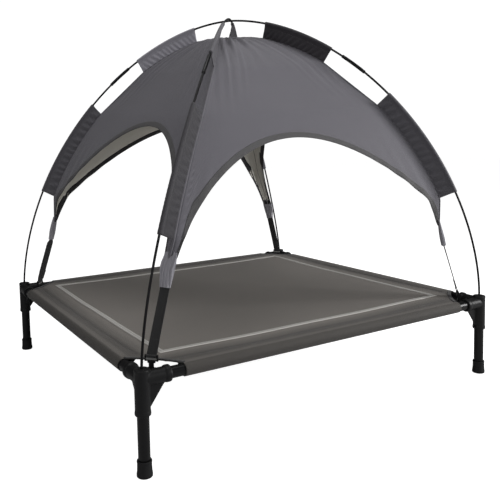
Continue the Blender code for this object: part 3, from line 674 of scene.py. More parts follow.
def bm_loft(bm, rows):
    """A closed solid through rings of points, capped at both ends."""
    rows = [[bm.verts.new(point) for point in row] for row in rows]
    for a, b in zip(rows, rows[1:]):
        for k in range(len(a)):
            m = (k + 1) % len(a)
            bm.faces.new((a[k], a[m], b[m], b[k]))
    bm.faces.new(rows[0])
    bm.faces.new(rows[-1])


def bm_turned(bm, profile, axis_matrix, count=48):
    bm_loft(bm, [[axis_matrix @ Vector((x, y, z)) for x, y in circle_points(max(r, 1e-5), count)]
                 for r, z in profile])


def bm_prism(bm, outline, low, high, place):
    bm_loft(bm, [[place(u, v, height) for u, v in outline] for height in (low, high)])


def melt(bm, name, material, voxel, rounds):
    """Joins overlapping closed parts into one skin with small fillets."""
    bmesh.ops.recalc_face_normals(bm, faces=bm.faces)
    mesh = bpy.data.meshes.new(name)
    bm.to_mesh(mesh)
    bm.free()
    piece = new_object(name, mesh)
    remesh = piece.modifiers.new("remesh", "REMESH")
    remesh.mode = "VOXEL"
    remesh.voxel_size = voxel
    remesh.use_smooth_shade = True
    smooth = piece.modifiers.new("smooth", "SMOOTH")
    smooth.factor = 0.5
    smooth.iterations = rounds
    bake_modifiers(piece)
    piece.data.materials.clear()
    piece.data.materials.append(material)
    piece.data.polygons.foreach_set("use_smooth", [True] * len(piece.data.polygons))
    return piece


def diagonal(radius, side, z):
    s = math.sqrt(0.5)
    return Vector(((radius - side) * s, (radius + side) * s, z))


def connector_piece():
    """A moulded three-way corner: socket, capped top, two arms with rolled collars, webs and strap eye."""
    bm = bmesh.new()
    up = Matrix.Identity(4)
    bm_turned(bm, [(0.0, 0.1110), (0.0132, 0.1110), (0.0146, 0.1122), (0.0149, 0.1150), (0.0146, 0.1185),
                   (0.0141, 0.1205), (0.0141, 0.1880), (0.0144, 0.1890), (0.0144, 0.1930), (0.0135, 0.1940),
                   (0.0066, 0.1940), (0.0060, 0.1948), (0.0036, 0.1948), (0.0030, 0.1925), (0.0, 0.1925)], up)
    for turn in (Matrix.Rotation(math.pi / 2, 4, "Y"), Matrix.Rotation(-math.pi / 2, 4, "X")):
        place = Matrix.Translation((0, 0, SIDE_Z)) @ turn
        bm_turned(bm, [(0.0, 0.0), (0.0135, 0.0), (0.0135, 0.0410), (0.0142, 0.0424), (0.0152, 0.0438),
                       (0.0156, 0.0460), (0.0156, 0.0515), (0.0150, 0.0532), (0.0138, 0.0540),
                       (0.0, 0.0540)], place)
    web = [(0.006, 0.170), (0.0425, 0.170), (0.0425, 0.1605),
           (0.0390, 0.1565), (0.0150, 0.1235), (0.006, 0.1225)]
    bm_prism(bm, web, -0.0021, 0.0021, lambda u, v, t: Vector((u, t, v)))
    bm_prism(bm, web, -0.0021, 0.0021, lambda u, v, t: Vector((t, u, v)))
    low, high = 0.1725, 0.1775
    for reach, sides in (((0.010, 0.0262), (-0.0100, 0.0100)), ((0.0513, 0.0562), (-0.0100, 0.0100)),
                         ((0.010, 0.0562), (-0.0100, -0.0062)), ((0.010, 0.0562), (0.0062, 0.0100))):
        outline = [(reach[0], sides[0]), (reach[1], sides[0]), (reach[1], sides[1]), (reach[0], sides[1])]
        bm_prism(bm, outline, low, high, diagonal)
    return melt(bm, "corner_connector_skin", PLASTIC, 0.0007, 3)


def make_frame():
    connector = connector_piece()
    foot = turned("foot_cup", [(0.0, 0.0), (0.0118, 0.0), (0.0124, 0.0004), (0.0138, 0.0006),
                               (0.0144, 0.0014), (0.0146, 0.0034), (0.0145, 0.0062), (0.0141, 0.0084), (0.0137, 0.0120),
                               (0.0134, 0.0180), (0.0133, 0.0240), (0.0134, 0.0262), (0.0138, 0.0270),
                               (0.0138, 0.0288), (0.0133, 0.0300), (0.0119, 0.0301), (0.0114, 0.0290),
                               (0.0, 0.0288)], RUBBER)
    leg = turned("leg_tube", [(0.0, 0.006), (TUBE_R - 0.0006, 0.006), (TUBE_R, 0.0066), (TUBE_R, 0.05),
                              (TUBE_R, 0.10), (TUBE_R, 0.1590), (TUBE_R - 0.0006, 0.1596),
                              (0.0, 0.1596)], STEEL)
    for piece in (foot, leg):
        sharpen(piece, 50)
    for corner in CORNERS:
        at = corner_matrix(corner)
        for piece, name, node, slot in ((connector, "connector_", "corner_connector_", "black_plastic"),
                                        (foot, "foot_", "rubber_foot_", "black_rubber"),
                                        (leg, "leg_", "leg_tube_", "black_steel")):
            on_bed(placed_copy(piece, name + corner, at), node + corner, slot=slot)
    for piece in (connector, foot, leg):
        bpy.data.objects.remove(piece)
    end = 0.0168
    for side, across, reach in (("front", -HALF_Y, HALF_X), ("back", HALF_Y, HALF_X),
                                ("left", -HALF_X, HALF_Y), ("right", HALF_X, HALF_Y)):
        rows = []
        for x in np.linspace(-reach + end, reach - end, 12):
            ring = circle_points(TUBE_R, 40)
            if side in ("front", "back"):
                rows.append([(x, across + a, SIDE_Z + b) for a, b in ring])
            else:
                rows.append([(across + a, x, SIDE_Z + b) for a, b in ring])
        piece = swept(f"side_rail_{side}", rows, [STEEL])
        sharpen(piece, 50)
        on_bed(piece, "side_tube_" + side, slot="black_steel")


# ---- bed fabric ----
POCKET_END = 0.082
CUT_RISE = 0.006
SAG = 0.0042


def cut_points(sx, sy, count=25):
    """The arched corner cut, from the side along X to the side along Y."""
    a = np.array([sx * (HALF_X - POCKET_END), sy * HALF_Y])
    b = np.array([sx * HALF_X, sy * (HALF_Y - POCKET_END)])
    inward = -np.array([sx, sy]) / math.sqrt(2)
    t = np.linspace(0, 1, count)[:, None]
    return a + (b - a) * t + inward * CUT_RISE * 4 * t * (1 - t)


def deck_height(x, y):
    """Height of the stretched cloth: it dips off the tubes, then rises a little to a flat middle."""
    dx, dy = HALF_X - np.abs(x), HALF_Y - np.abs(y)

    def dip(d):
        return smooth_step(d / 0.042) - 0.30 * smooth_step((d - 0.045) / 0.040)
    corner = smooth_step((np.hypot(dx, dy) - 0.10) / 0.22)
    ripple = 0.00035 * np.sin(21 * x + 2.0 * y) * np.sin(17 * y - 3.0 * x + 1.0)
    seam = 0.0007 * (bell(dx, SEAM_INSET, 0.0016) + bell(dy, SEAM_INSET, 0.0016))
    away = smooth_step(np.minimum(dx, dy) / 0.03)
    return DECK_TOP - SAG * dip(dx) * dip(dy) * corner - seam - ripple * away - 0.0002


def side_offsets():
    return np.concatenate([np.linspace(0, 0.012, 7), np.linspace(0.016, 0.060, 16), [0.070, 0.085]])


def make_bed():
    reach = side_offsets()
    shares = np.linspace(0, 1, 44)
    inner_y = HALF_Y - reach[-1]
    ys = np.concatenate([-HALF_Y + reach[:-1], -inner_y + 2 * inner_y * shares, (HALF_Y - reach[:-1])[::-1]])
    cut = cut_points(1, 1, 81)
    order = np.argsort(cut[:, 1])
    grid = []
    for y in ys:
        half = HALF_X
        if abs(y) > HALF_Y - POCKET_END:
            half = float(np.interp(abs(y), cut[order, 1], cut[order, 0]))
        inner = half - reach[-1]
        xs = np.concatenate([-half + reach[:-1], -inner + 2 * inner * shares, (half - reach[:-1])[::-1]])
        grid.append(np.stack([xs, np.full(len(xs), y), deck_height(xs, y)], 1))
    grid = np.array(grid)
    rows, columns = grid.shape[:2]
    faces, places = grid_faces(rows, columns)
    points = grid.reshape(-1, 3)
    uv = points[(places[:, 0] * columns + places[:, 1]), :2]
    slots = [0] * len(faces)
    strips = [(grid[0], "y", -1), (grid[-1], "y", 1)]
    straight = np.abs(ys) <= HALF_Y - POCKET_END + 1e-6
    edge_rows = np.concatenate([[-(HALF_Y - POCKET_END)], ys[straight], [HALF_Y - POCKET_END]])
    for s in (-1, 1):
        strips.append((np.stack([np.full(len(edge_rows), s * HALF_X), edge_rows,
                                 deck_height(s * HALF_X, edge_rows)], 1), "x", s))
    for line, axis, s in strips:
        wrap = pocket_wrap(line, axis, s)
        more, where = grid_faces(*wrap.shape[:2], start=len(points))
        index = where[:, 0] * wrap.shape[1] + where[:, 1]
        flat = wrap.reshape(-1, 3)
        run = flat[:, 0] if axis == "y" else flat[:, 1]
        around = np.tile(lengths_along(wrap[:, 0])[:, None], (1, wrap.shape[1])).reshape(-1)
        uv = np.concatenate([uv, np.stack([run[index], 0.5 + around[index]], 1)])
        points = np.concatenate([points, flat])
        faces += more
        slots += [0] * len(more)
    piece = add_piece("bed_cloth", points, faces, uv, [BED_PAINTED_SHADE, BED_BACK], slots)
    weld(piece, 0.0004, lambda faces: min(faces, key=lambda f: f.calc_center_median().xy.length))
    thicken(piece, BED_THICK)
    on_bed(piece, "bed_fabric", slot="bed_cloth")
    make_corner_binding()
    make_bed_stitching()
    return piece


def pocket_wrap(line, axis, s):
    """The cloth from the crest round the tube and back up to the seam under the deck."""
    rows = [line]
    for angle in np.radians(np.concatenate([np.arange(10, 181, 10), [195, 210, 225]])):
        out = s * POCKET_R * math.sin(angle)
        row = line.copy()
        row[:, 0 if axis == "x" else 1] += out
        row[:, 2] = SIDE_Z + POCKET_R * math.cos(angle)
        rows.append(row)
    under = line.copy()
    under[:, 0 if axis == "x" else 1] -= s * SEAM_INSET
    under[:, 2] = deck_height(under[:, 0], under[:, 1]) - 0.0016
    for t in (0.35, 0.7, 1.0):
        rows.append(rows[-1] * (1 - t) + under * t)
    return np.array(rows)


def make_corner_binding():
    """Dark folded binding along the four corner cuts."""
    points, faces, uv = [], [], []
    for sx, sy in CORNERS.values():
        line = cut_points(sx, sy, 33)
        inward = -np.array([sx, sy]) / math.sqrt(2)
        tangent = np.gradient(line, axis=0)
        normal = unit(np.stack([-tangent[:, 1], tangent[:, 0]], 1))
        normal *= np.sign(normal @ inward)[:, None]
        grid = []
        for point, n in zip(line, normal):
            row = []
            for reach, lift in ((-0.0006, -0.0006), (-0.0002, 0.0004), (0.0010, 0.0009), (0.0050, 0.0009),
                                (0.0082, 0.0008), (0.0088, 0.0002), (0.0088, -0.0016), (0.0050, -0.0021),
                                (0.0010, -0.0021), (-0.0004, -0.0016)):
                x, y = point + n * reach
                row.append((x, y, float(deck_height(x, y)) + lift))
            grid.append(row)
        grid = np.array(grid)
        more, where = grid_faces(*grid.shape[:2], wrap=True, start=len(points))
        s = lengths_along(grid[:, 0])
        uv += [(s[r], c * 0.0025) for r, c in where]
        count = grid.shape[1]
        more += [[len(points) + k for k in range(count)],
                 [len(points) + (len(grid) - 1) * count + k for k in range(count)]]
        uv += [(0, 0)] * (2 * count)
        faces += more
        points += grid.reshape(-1, 3).tolist()
    piece = add_piece("corner_binding", points, faces, uv, [BED_TRIM])
    outward(piece)
    on_bed(piece, slot="bed_cloth")


def deck_line(ends, count=160, lift=0.0):
    a, b = np.array(ends[0]), np.array(ends[1])
    line = a + (b - a) * np.linspace(0, 1, count)[:, None]
    z = deck_height(line[:, 0], line[:, 1]) + lift
    return np.column_stack([line, z]), np.tile((0.0, 0.0, 1.0), (count, 1))


def make_bed_stitching():
    rows = []
    for inset in (0.0262, 0.0308):
        x, y = HALF_X - inset, HALF_Y - inset
        run_x, run_y = HALF_X - POCKET_END + 0.012, HALF_Y - POCKET_END + 0.012
        for s in (-1, 1):
            rows.append(deck_line(((-run_x + inset * 0.6, s * y), (run_x - inset * 0.6, s * y)), lift=0.0001))
            rows.append(deck_line(((s * x, -run_y + inset * 0.6), (s * x, run_y - inset * 0.6)), lift=0.0001))
    stitches("bed_stitching", rows, DARK_THREAD, "bed_cloth")


def make_border_tape():
    """A flat tape ring with mitred corners, lying on the cloth, sewn along both edges."""
    half = TAPE_HALF
    x, y = HALF_X - TAPE_INSET, HALF_Y - TAPE_INSET
    section = [(-half, 0.0001), (-half, 0.0006), (-half + 0.0006, 0.0009), (-half * 0.4, 0.0011), (0, 0.0010),
               (half * 0.4, 0.0011), (half - 0.0006, 0.0009), (half, 0.0006), (half, 0.0001)]
    corners = list(CORNERS.values())
    points, faces, uv, rows = [], [], [], []
    for k in range(4):
        a, b = corners[k], corners[(k + 1) % 4]
        grid = []
        for t in np.linspace(0, 1, 90):
            row = []
            for reach, lift in section:
                start = np.array([a[0] * (x + reach), a[1] * (y + reach)])
                end = np.array([b[0] * (x + reach), b[1] * (y + reach)])
                px, py = start + (end - start) * t
                row.append((px, py, float(deck_height(px, py)) + lift))
            grid.append(row)
        grid = np.array(grid)
        more, where = grid_faces(*grid.shape[:2], start=len(points))
        s = lengths_along(grid[:, 4])
        uv += [(s[r], section[c][0]) for r, c in where]
        faces += more
        points += grid.reshape(-1, 3).tolist()
        for reach in (-half + 0.0013, half - 0.0013):
            start = (a[0] * (x + reach), a[1] * (y + reach))
            end = (b[0] * (x + reach), b[1] * (y + reach))
            rows.append(deck_line((start, end), lift=0.0011))
    piece = add_piece("border_tape_ring", points, faces, uv, [TAPE])
    weld(piece, 0.00005, lambda faces: faces[len(faces) // 2])
    on_bed(piece, "bed_border_tape", slot="border_tape")
    stitches("border_tape_stitching", rows, LIGHT_THREAD, "border_tape",
             pitch=0.0042, length=0.0030, radius=0.0003)


# ---- canopy ----
HEM_APEX = {"front": 0.537, "right": 0.492, "back": 0.537, "left": 0.492}
HEM_APEX_AT = {"front": 0.43, "right": 0.38, "back": 0.43, "left": 0.38}
HEM_EDGE = (0.024, 0.010)
HEM_POWERS = ((0.6, 2.0), (0.8, 1.88))
CLOTH_THICK = 0.0007
BINDING_WIDTH = 0.0125
TIP = 0.002


class Ridge:
    """A ridge seam as a table of points by distance, with its kinks softened."""

    def __init__(self, corner):
        self.end = waist_distance(corner)
        self.d = np.linspace(0, self.end, 700)
        points = np.array([ridge_point(corner, d) for d in self.d])
        for _ in range(40):
            points[1:-1] = points[1:-1] * 0.5 + (points[:-2] + points[2:]) * 0.25
        self.p = points

    def at(self, distance):
        return np.stack([np.interp(distance, self.d, self.p[:, k]) for k in range(3)], -1)


RIDGES = {corner: Ridge(corner) for corner in CORNERS}


def hem_distance(side, v):
    first, second = PANELS[side]
    w = v if pole_of(first) == "over" else 1 - v
    waist = RIDGES[first].end * (1 - v) + RIDGES[second].end * v
    apex = HEM_APEX_AT[side]
    near = np.clip((w - HEM_EDGE[0]) / (apex - HEM_EDGE[0]), 0, 1)
    far = np.clip((1 - w - HEM_EDGE[1]) / (1 - apex - HEM_EDGE[1]), 0, 1)
    rise = np.where(w < apex, (1 - near ** HEM_POWERS[0][0]) ** HEM_POWERS[0][1],
                    (1 - far ** HEM_POWERS[1][0]) ** HEM_POWERS[1][1])
    return HEM_APEX[side] + (waist - HEM_APEX[side]) * rise


def within(x, low, high, soft=0.02):
    return smooth_step((x - low) / soft + 0.5) * smooth_step((high - x) / soft + 0.5)


def wrinkle(side, v, d, width):
    """Height of the cloth off the stretched surface: puckers, pleats and folds, all by formula."""
    height = np.zeros_like(v)
    seed = list(PANELS).index(side) * 1.7
    for end, e in ((0, v * width), (1, (1 - v) * width)):
        ramp = smooth_step(e / 0.007)
        for low, high, pitch in ((*UPPER_SLEEVE, 0.0165), (*LOWER_SLEEVE, 0.0205)):
            wave = np.sin(2 * math.pi * d / pitch + 1.3 * np.sin(d * 41 + seed + end) + e * 90)
            height += 0.0010 * ramp * np.exp(-e / 0.026) * within(d, low, high) * wave
        near = 1.0 if PANELS[side][end] == "front_left" else 0.55
        run = e - 0.20 * d
        pleat = np.sin(2 * math.pi * run / 0.024 + seed)
        pleat += 0.5 * np.sin(2 * math.pi * run / 0.015 + 2.0 + seed)
        pleat *= smooth_step(e / 0.010) * bell(e, 0.045, 0.050) * within(d, 0.06, 0.40, 0.22)
        height += 0.0012 * near * pleat
        gap = 0.5 * (UPPER_SLEEVE[1] + LOWER_SLEEVE[0])
        height -= 0.0035 * smooth_step(e / 0.012) * np.exp(-e / 0.030) * bell(d, gap, 0.055)
        taut = smooth_step((d - 0.52) / 0.22)
        share = e / np.maximum(width, 0.05)
        fold = np.sin(2 * math.pi * share * 17 + seed * 2 + end * 1.1)
        height += 0.0013 * taut * fold * smooth_step(e / 0.02) * bell(share, 0.10, 0.13)
    near_peak = 1 - smooth_step((d - 0.05) / 0.27)
    radial = 0.6 * np.sin(v * 31 + seed) + 0.4 * np.sin(v * 53 + 2.1 + seed * 1.9)
    lean = 1.0 if side in ("front", "back") else 0.7
    height += 0.0055 * lean * near_peak * radial * smooth_step(d / 0.06) * smooth_step(v / 0.03) \
        * smooth_step((1 - v) / 0.03) * (0.35 + 0.65 * bell(v, 0.22, 0.26))
    slow = np.sin(5.1 * v + 7.0 * d + seed) * np.sin(9.0 * d - 3.0 * v + seed * 0.6)
    height += 0.0022 * slow * smooth_step(v / 0.12) * smooth_step((1 - v) / 0.12)
    return height


def flat_surface(side, v, drop):
    first, second = PANELS[side]
    d = TIP + (hem_distance(side, v) - TIP) * drop
    a, b = RIDGES[first].at(d), RIDGES[second].at(d)
    width = np.linalg.norm(b - a, axis=-1)
    belly = 0.014 * width * 4 * v * (1 - v) * smooth_step(d / 0.25) * smooth_step((1.05 - drop) / 0.5)
    point = a + (b - a) * v[..., None]
    return point, d, width, belly


def surface(side, v, drop):
    """Points of the cloth's middle and its outward normals, for arrays of v and drop."""
    e = 1e-4
    point, d, width, belly = flat_surface(side, v, drop)

    def flat(v, drop):
        return flat_surface(side, np.clip(v, 0, 1), np.clip(drop, 0, 1))[0]
    normal = np.cross(flat(v + e, drop) - flat(v - e, drop), flat(v, drop + e) - flat(v, drop - e))
    size = np.linalg.norm(normal, axis=-1, keepdims=True)
    normal = normal / np.maximum(size, 1e-14)
    facing = np.sign(np.sum(normal * (point - np.array([0, 0, 0.25])), axis=-1, keepdims=True))
    normal = normal * np.where(facing == 0, 1, facing)
    return point + normal * (wrinkle(side, v, d, width) - belly)[..., None], normal, d, width


def canopy_columns():
    t = np.linspace(0, 1, 71)
    return 0.5 + 0.5 * np.sign(t - 0.5) * np.abs(2 * t - 1) ** 0.85


def make_canopy():
    v = canopy_columns()
    drops = np.linspace(0, 1, 86)
    points, faces, uv = [], [], []
    for side in PANELS:
        grid_v, grid_d = np.meshgrid(v, drops)
        p, _, d, width = surface(side, grid_v, grid_d)
        more, where = grid_faces(*grid_v.shape, start=len(points))
        u = (grid_v - 0.5) * width
        uv += np.stack([u[where[:, 0], where[:, 1]], d[where[:, 0], where[:, 1]]], 1).tolist()
        faces += more
        points += p.reshape(-1, 3).tolist()
    piece = add_piece("canopy_cloth", points, faces, uv, [SHADE_OUT, SHADE_IN, TRIM_OUT])
    area = weld(piece, 0.00008, lambda faces: max(faces, key=lambda f: f.calc_center_median().z), 0.00002)
    thicken(piece, CLOTH_THICK, rim=2)
    on_bed(piece, *["canopy_panel_" + s for s in PANELS], slot="canopy_cloth")
    return piece, area


def hem_band(side, profile, columns=150):
    """Points of a band along one hem: profile gives (distance in from the hem, lift off the cloth)."""
    t = np.linspace(0, 1, columns)
    v = 0.002 + 0.996 * (0.5 + 0.5 * np.sign(t - 0.5) * np.abs(2 * t - 1) ** 0.8)
    one = np.ones_like(v)
    hem = surface(side, v, one)[0]
    inner = surface(side, v, one * 0.97)[0]
    tangent = unit(np.gradient(hem, axis=0))
    step = inner - hem
    square = step - tangent * np.sum(step * tangent, axis=1, keepdims=True)
    rate = np.maximum(np.linalg.norm(square, axis=1) / 0.03, 0.12)
    rows = []
    for reach, lift in profile:
        drop = 1 - np.minimum(max(reach, 0.0) / rate, 0.20)
        p, n, _, _ = surface(side, v, drop)
        if reach < 0:
            p = p + reach * square / np.maximum(np.linalg.norm(square, axis=1, keepdims=True), 1e-9)
        rows.append(p + n * lift)
    return np.stack(rows, axis=1)


def make_hem(side):
    w = BINDING_WIDTH
    out, back = 0.0007, -CLOTH_THICK - 0.0007
    profile = [(-0.0012, -0.0002), (-0.0006, 0.0005), (0.001, out), (w * 0.35, out + 0.0001),
               (w * 0.7, out + 0.0001), (w - 0.0015, out), (w, 0.0001), (w, back + 0.0006),
               (w - 0.0015, back), (w * 0.7, back - 0.0001), (w * 0.35, back - 0.0001), (0.001, back),
               (-0.0006, back + 0.0002)]
    piece = swept("canopy_hem_" + side, hem_band(side, profile), [TRIM_OUT, TRIM_IN], [0] * 6 + [1] * 7)
    on_bed(piece, slot="canopy_cloth")
    lines = hem_band(side, [(w - 0.0022, out + 0.00015), (0.0022, out + 0.00015)])
    normals = hem_band(side, [(w - 0.0022, out + 0.01), (0.0022, out + 0.01)]) - lines
    return piece, [(lines[:, k], normals[:, k]) for k in range(2)]


def make_ridge_seams():
    """The sewn seam allowance under each ridge, seen as a narrow raised cord line on top."""
    pieces = []
    for corner, ridge in RIDGES.items():
        first_side, second_side = ([s for s, ends in PANELS.items() if ends[k] == corner][0] for k in (0, 1))
        d = np.linspace(0.004, ridge.end - 0.004, 220)
        rows = []
        drop_a = (d - TIP) / (hem_distance(first_side, np.zeros_like(d)) - TIP)
        drop_b = (d - TIP) / (hem_distance(second_side, np.ones_like(d)) - TIP)
        centre = ridge.at(d)
        n_a = surface(first_side, np.full_like(d, 0.004), drop_a)[1]
        n_b = surface(second_side, np.full_like(d, 0.996), drop_b)[1]
        out = unit(n_a + n_b)
        side = unit(np.cross(np.gradient(centre, axis=0), out))
        for c, o, s in zip(centre, out, side):
            rows.append([c + s * a + o * b for a, b in ((-0.0026, -0.0016), (-0.0010, 0.0003), (0.0, 0.0007),
                                                        (0.0010, 0.0003), (0.0026, -0.0016), (0.0, -0.0014))])
        piece = swept("canopy_ridge_seam_" + corner, rows, [SHADE_OUT])
        on_bed(piece, slot="canopy_cloth")
        pieces.append(piece)
    return pieces


# ---- sleeves ----
SLEEVE_LOOKS = {"upper": (0.0150, 0.0026, 0.62), "lower": (0.0200, 0.0026, 0.30)}  # pitch, depth, slant


# tones set sleeve by sleeve, to stand for how light falls on them; the cloth is taken to be one
SLEEVE_TONES = {("upper", "back_left"): FLAP_PAINTED_LIGHT, ("upper", "front_right"): FLAP_PAINTED_SHADE,
                ("upper", "back_right"): FLAP_PAINTED_SHADE, ("lower", "front_left"): FLAP_FRONT_PAINTED_SHADE}


def sleeve_rows(corner, place):
    low, high = UPPER_SLEEVE if place == "upper" else LOWER_SLEEVE
    pitch, depth, slant = SLEEVE_LOOKS[place]
    seed = list(CORNERS).index(corner) * 2.3 + (place == "upper")
    ys = np.linspace(0.0085, SLEEVE_DROP + 0.0004, 13)
    loop = [(0.0046 * math.sin(a), -0.0046 * math.cos(a)) for a in np.linspace(-2.45, 2.45, 15)]
    if corner == "front_left":
        depth *= 0.45
    rows = []
    count = max(int((high - low) / 0.0028), 20)
    for d in np.linspace(low, high, count):
        end = min(d - low, high - d)
        half = 0.0006 + 0.0004 * (end < 0.008)
        figure = []
        phase = 2 * math.pi * d / pitch + 1.5 * math.sin(d * 29 + seed) + 0.7 * math.sin(d * 83 + 2 * seed)

        def shift(y):
            t = (y - 0.0085) / (SLEEVE_DROP - 0.0085)
            rise = smooth_step(t / 0.25) * (0.35 + 0.65 * t) * smooth_step((1.0 - t) / 0.08 + 0.25)
            main = math.sin(phase + slant * y / pitch * 2 * math.pi)
            small = 0.35 * math.sin(2.3 * phase + seed - y * 160)
            return depth * float(rise) * (main + small) * min(1.0, 0.3 + end / 0.012)
        for y in ys[::-1]:
            figure.append((shift(y) - half, y))
        figure += [(x + 0.00025 * math.sin(phase * 2 + k), y) for k, (x, y) in enumerate(loop)]
        for y in ys:
            figure.append((shift(y) + half, y))
        c, s = math.cos(sleeve_tilt(corner, d)), math.sin(sleeve_tilt(corner, d))
        rows.append(ARCHES[corner].section(d, [(x * c + y * s, y * c - x * s) for x, y in figure]))
    return rows


def make_sleeves():
    pieces, rows = [], []
    for corner in CORNERS:
        for place in ("upper", "lower"):
            section = np.array(sleeve_rows(corner, place))
            tone = SLEEVE_TONES.get((place, corner), FLAP)
            piece = swept(f"canopy_sleeve_{place}_{corner}", section, [tone])
            on_bed(piece, f"pole_sleeve_{place}_{corner}", slot="sleeve_cloth")
            pieces.append(piece)
            for index in (11, 29):
                rows.append((section[:, index], section[:, index] - section[:, 40 - index]))
    stitches("canopy_sleeve_stitching", rows, DARK_THREAD, "sleeve_cloth",
             pitch=0.0050, length=0.0034, radius=0.0003)
    return pieces


# ---- tabs, straps and hooks ----
def make_tab(corner):
    """The canopy's gathered end: a pleated bundle that opens downwards and is cut straight."""
    arch = ARCHES[corner]
    top, end = waist_point(corner), tab_end_point(corner)
    axis = unit(end - top)
    side = unit(arch.side - axis * (arch.side @ axis))
    depth = np.cross(side, axis)
    length = np.linalg.norm(end - top)
    seed = list(CORNERS).index(corner) * 1.9
    rows = []
    for t in np.linspace(-0.30, 1.0, 34):
        w = 0.0122 + 0.0030 * smooth_step((t + 0.30) / 0.45) - 0.0042 * smooth_step((t - 0.25) / 0.75)
        lean = 0.0034 * (pole_of(corner) == "over") * (1 - smooth_step((t + 0.3) / 0.7))
        h = 0.0014 + 0.0027 * smooth_step((t + 0.3) / 1.0)
        row = []
        for a in np.arange(120) * 2 * math.pi / 120:
            ca, sa = math.cos(a), math.sin(a)
            x = w * np.sign(ca) * abs(ca) ** 0.65
            y = h * np.sign(sa) * abs(sa) ** 0.75
            phase = seed + 0.9 * math.sin(t * 3 + seed) + (0.8 if sa < 0 else 0)
            fold = math.sin(x * 2 * math.pi / 0.0056 + phase)
            y += np.sign(sa) * abs(sa) ** 0.5 * 0.0014 * (0.55 + 0.45 * smooth_step(t + 0.3)) * fold
            row.append(top + axis * (t * length) + side * (x + lean) + depth * y)
        rows.append(row)
    last = np.array(rows[-1])
    rows.append(last + axis * 0.0006 + (last.mean(0) - last) * 0.02)
    rows.append(last.mean(0) + (last - last.mean(0)) * 0.55 + axis * 0.0002)
    # the tabs use the lighter copy of the canopy cloth, which is painted light
    piece = swept(f"canopy_tab_{corner}", rows, [TAB_CLOTH_PAINTED_LIGHT])
    return on_bed(piece, "corner_tab_" + corner, slot="canopy_cloth")


HINGE = (0.050, 0.200)


def connector_basis(corner):
    sx, sy = CORNERS[corner]
    leg = np.array([sx * HALF_X, sy * HALF_Y, 0.0])
    inward = np.array([-sx, -sy, 0.0]) / math.sqrt(2)
    return leg, inward, np.array([-inward[1], inward[0], 0.0])


STRAP_TWIST = {"back_left": math.radians(34)}  # this strap hangs turned between the tab and the hook


def make_strap(corner):
    """Webbing from inside the tab to a sewn loop round the hook's pin."""
    leg, inward, side = connector_basis(corner)
    top = tab_end_point(corner) - leg
    lean_side = ARCHES[corner].side * np.sign(ARCHES[corner].side @ side)
    start = np.array([top @ inward, top[2]])
    hinge = np.array(HINGE)
    along = unit(start - hinge)
    square = np.array([-along[1], along[0]])
    radius = 0.00265
    path = [start + along * 0.014, start]
    straight = np.linspace(np.linalg.norm(start - hinge) - 0.01, 0.034, 8)
    path += [hinge + along * x + square * 0.0002 for x in straight]
    path += [hinge + along * 0.012 + square * 0.0008]
    for a in np.radians(np.linspace(68, -248, 19)):
        path.append(hinge + radius * (along * math.sin(a) + square * math.cos(a)))
    path += [hinge + along * 0.008 - square * 0.0022, hinge + along * 0.014 - square * 0.0012,
             hinge + along * 0.032 - square * 0.0010]
    aside = float(top @ side)
    reach = float((start - hinge) @ along)

    def width_way(far):
        """The direction across the webbing, far along from the hook (0) to the tab (1)."""
        cross = unit(side * (1 - far) + lean_side * far)
        ramp = max(0.0, min(1.0, far / 0.25, (1 - far) / 0.10))
        twist = STRAP_TWIST.get(corner, 0.0) * math.sin(math.pi / 2 * ramp)
        return cross * math.cos(twist) + inward * math.sin(twist)

    def upright(q):
        """A direction in the corner's upright plane, from its (inward, up) parts."""
        return inward * q[0] + np.array([0, 0, q[1]])

    def spot(q, far):
        return leg + side * aside * far + upright(q)

    def square_to(q, cross):
        direction = upright(q)
        return unit(direction - cross * (direction @ cross))

    rows = []
    path = np.array(path)
    for point, t in zip(path, unit(np.gradient(path, axis=0))):
        far = float(np.clip(((point - hinge) @ along) / reach, 0, 1))
        cross = width_way(far)
        middle = spot(point, far)
        across = square_to(np.array([-t[1], t[0]]), cross)
        row = []
        for a, b in ((-0.5, -0.25), (-0.47, -0.5), (-0.16, -0.5), (0.16, -0.5), (0.47, -0.5), (0.5, -0.25),
                     (0.5, 0.25), (0.47, 0.5), (0.16, 0.5), (-0.16, 0.5), (-0.47, 0.5), (-0.5, 0.25)):
            row.append(middle + across * b * STRAP_THICK + cross * a * STRAP_WIDTH)
        rows.append(row)
    piece = swept(f"webbing_strap_{corner}", rows, [STRAP])
    sharpen(piece, 50)
    on_bed(piece, "corner_strap_" + corner, slot="black_webbing")
    lines = []
    for reach_at in (0.016, 0.030):
        far = reach_at / reach
        cross = width_way(far)
        centre = spot(hinge + along * reach_at + square * 0.0008, far)
        normal = square_to(square, cross)
        run = [centre - cross * 0.008, centre + cross * 0.008]
        lines.append((run, [normal, normal]))
    return lines


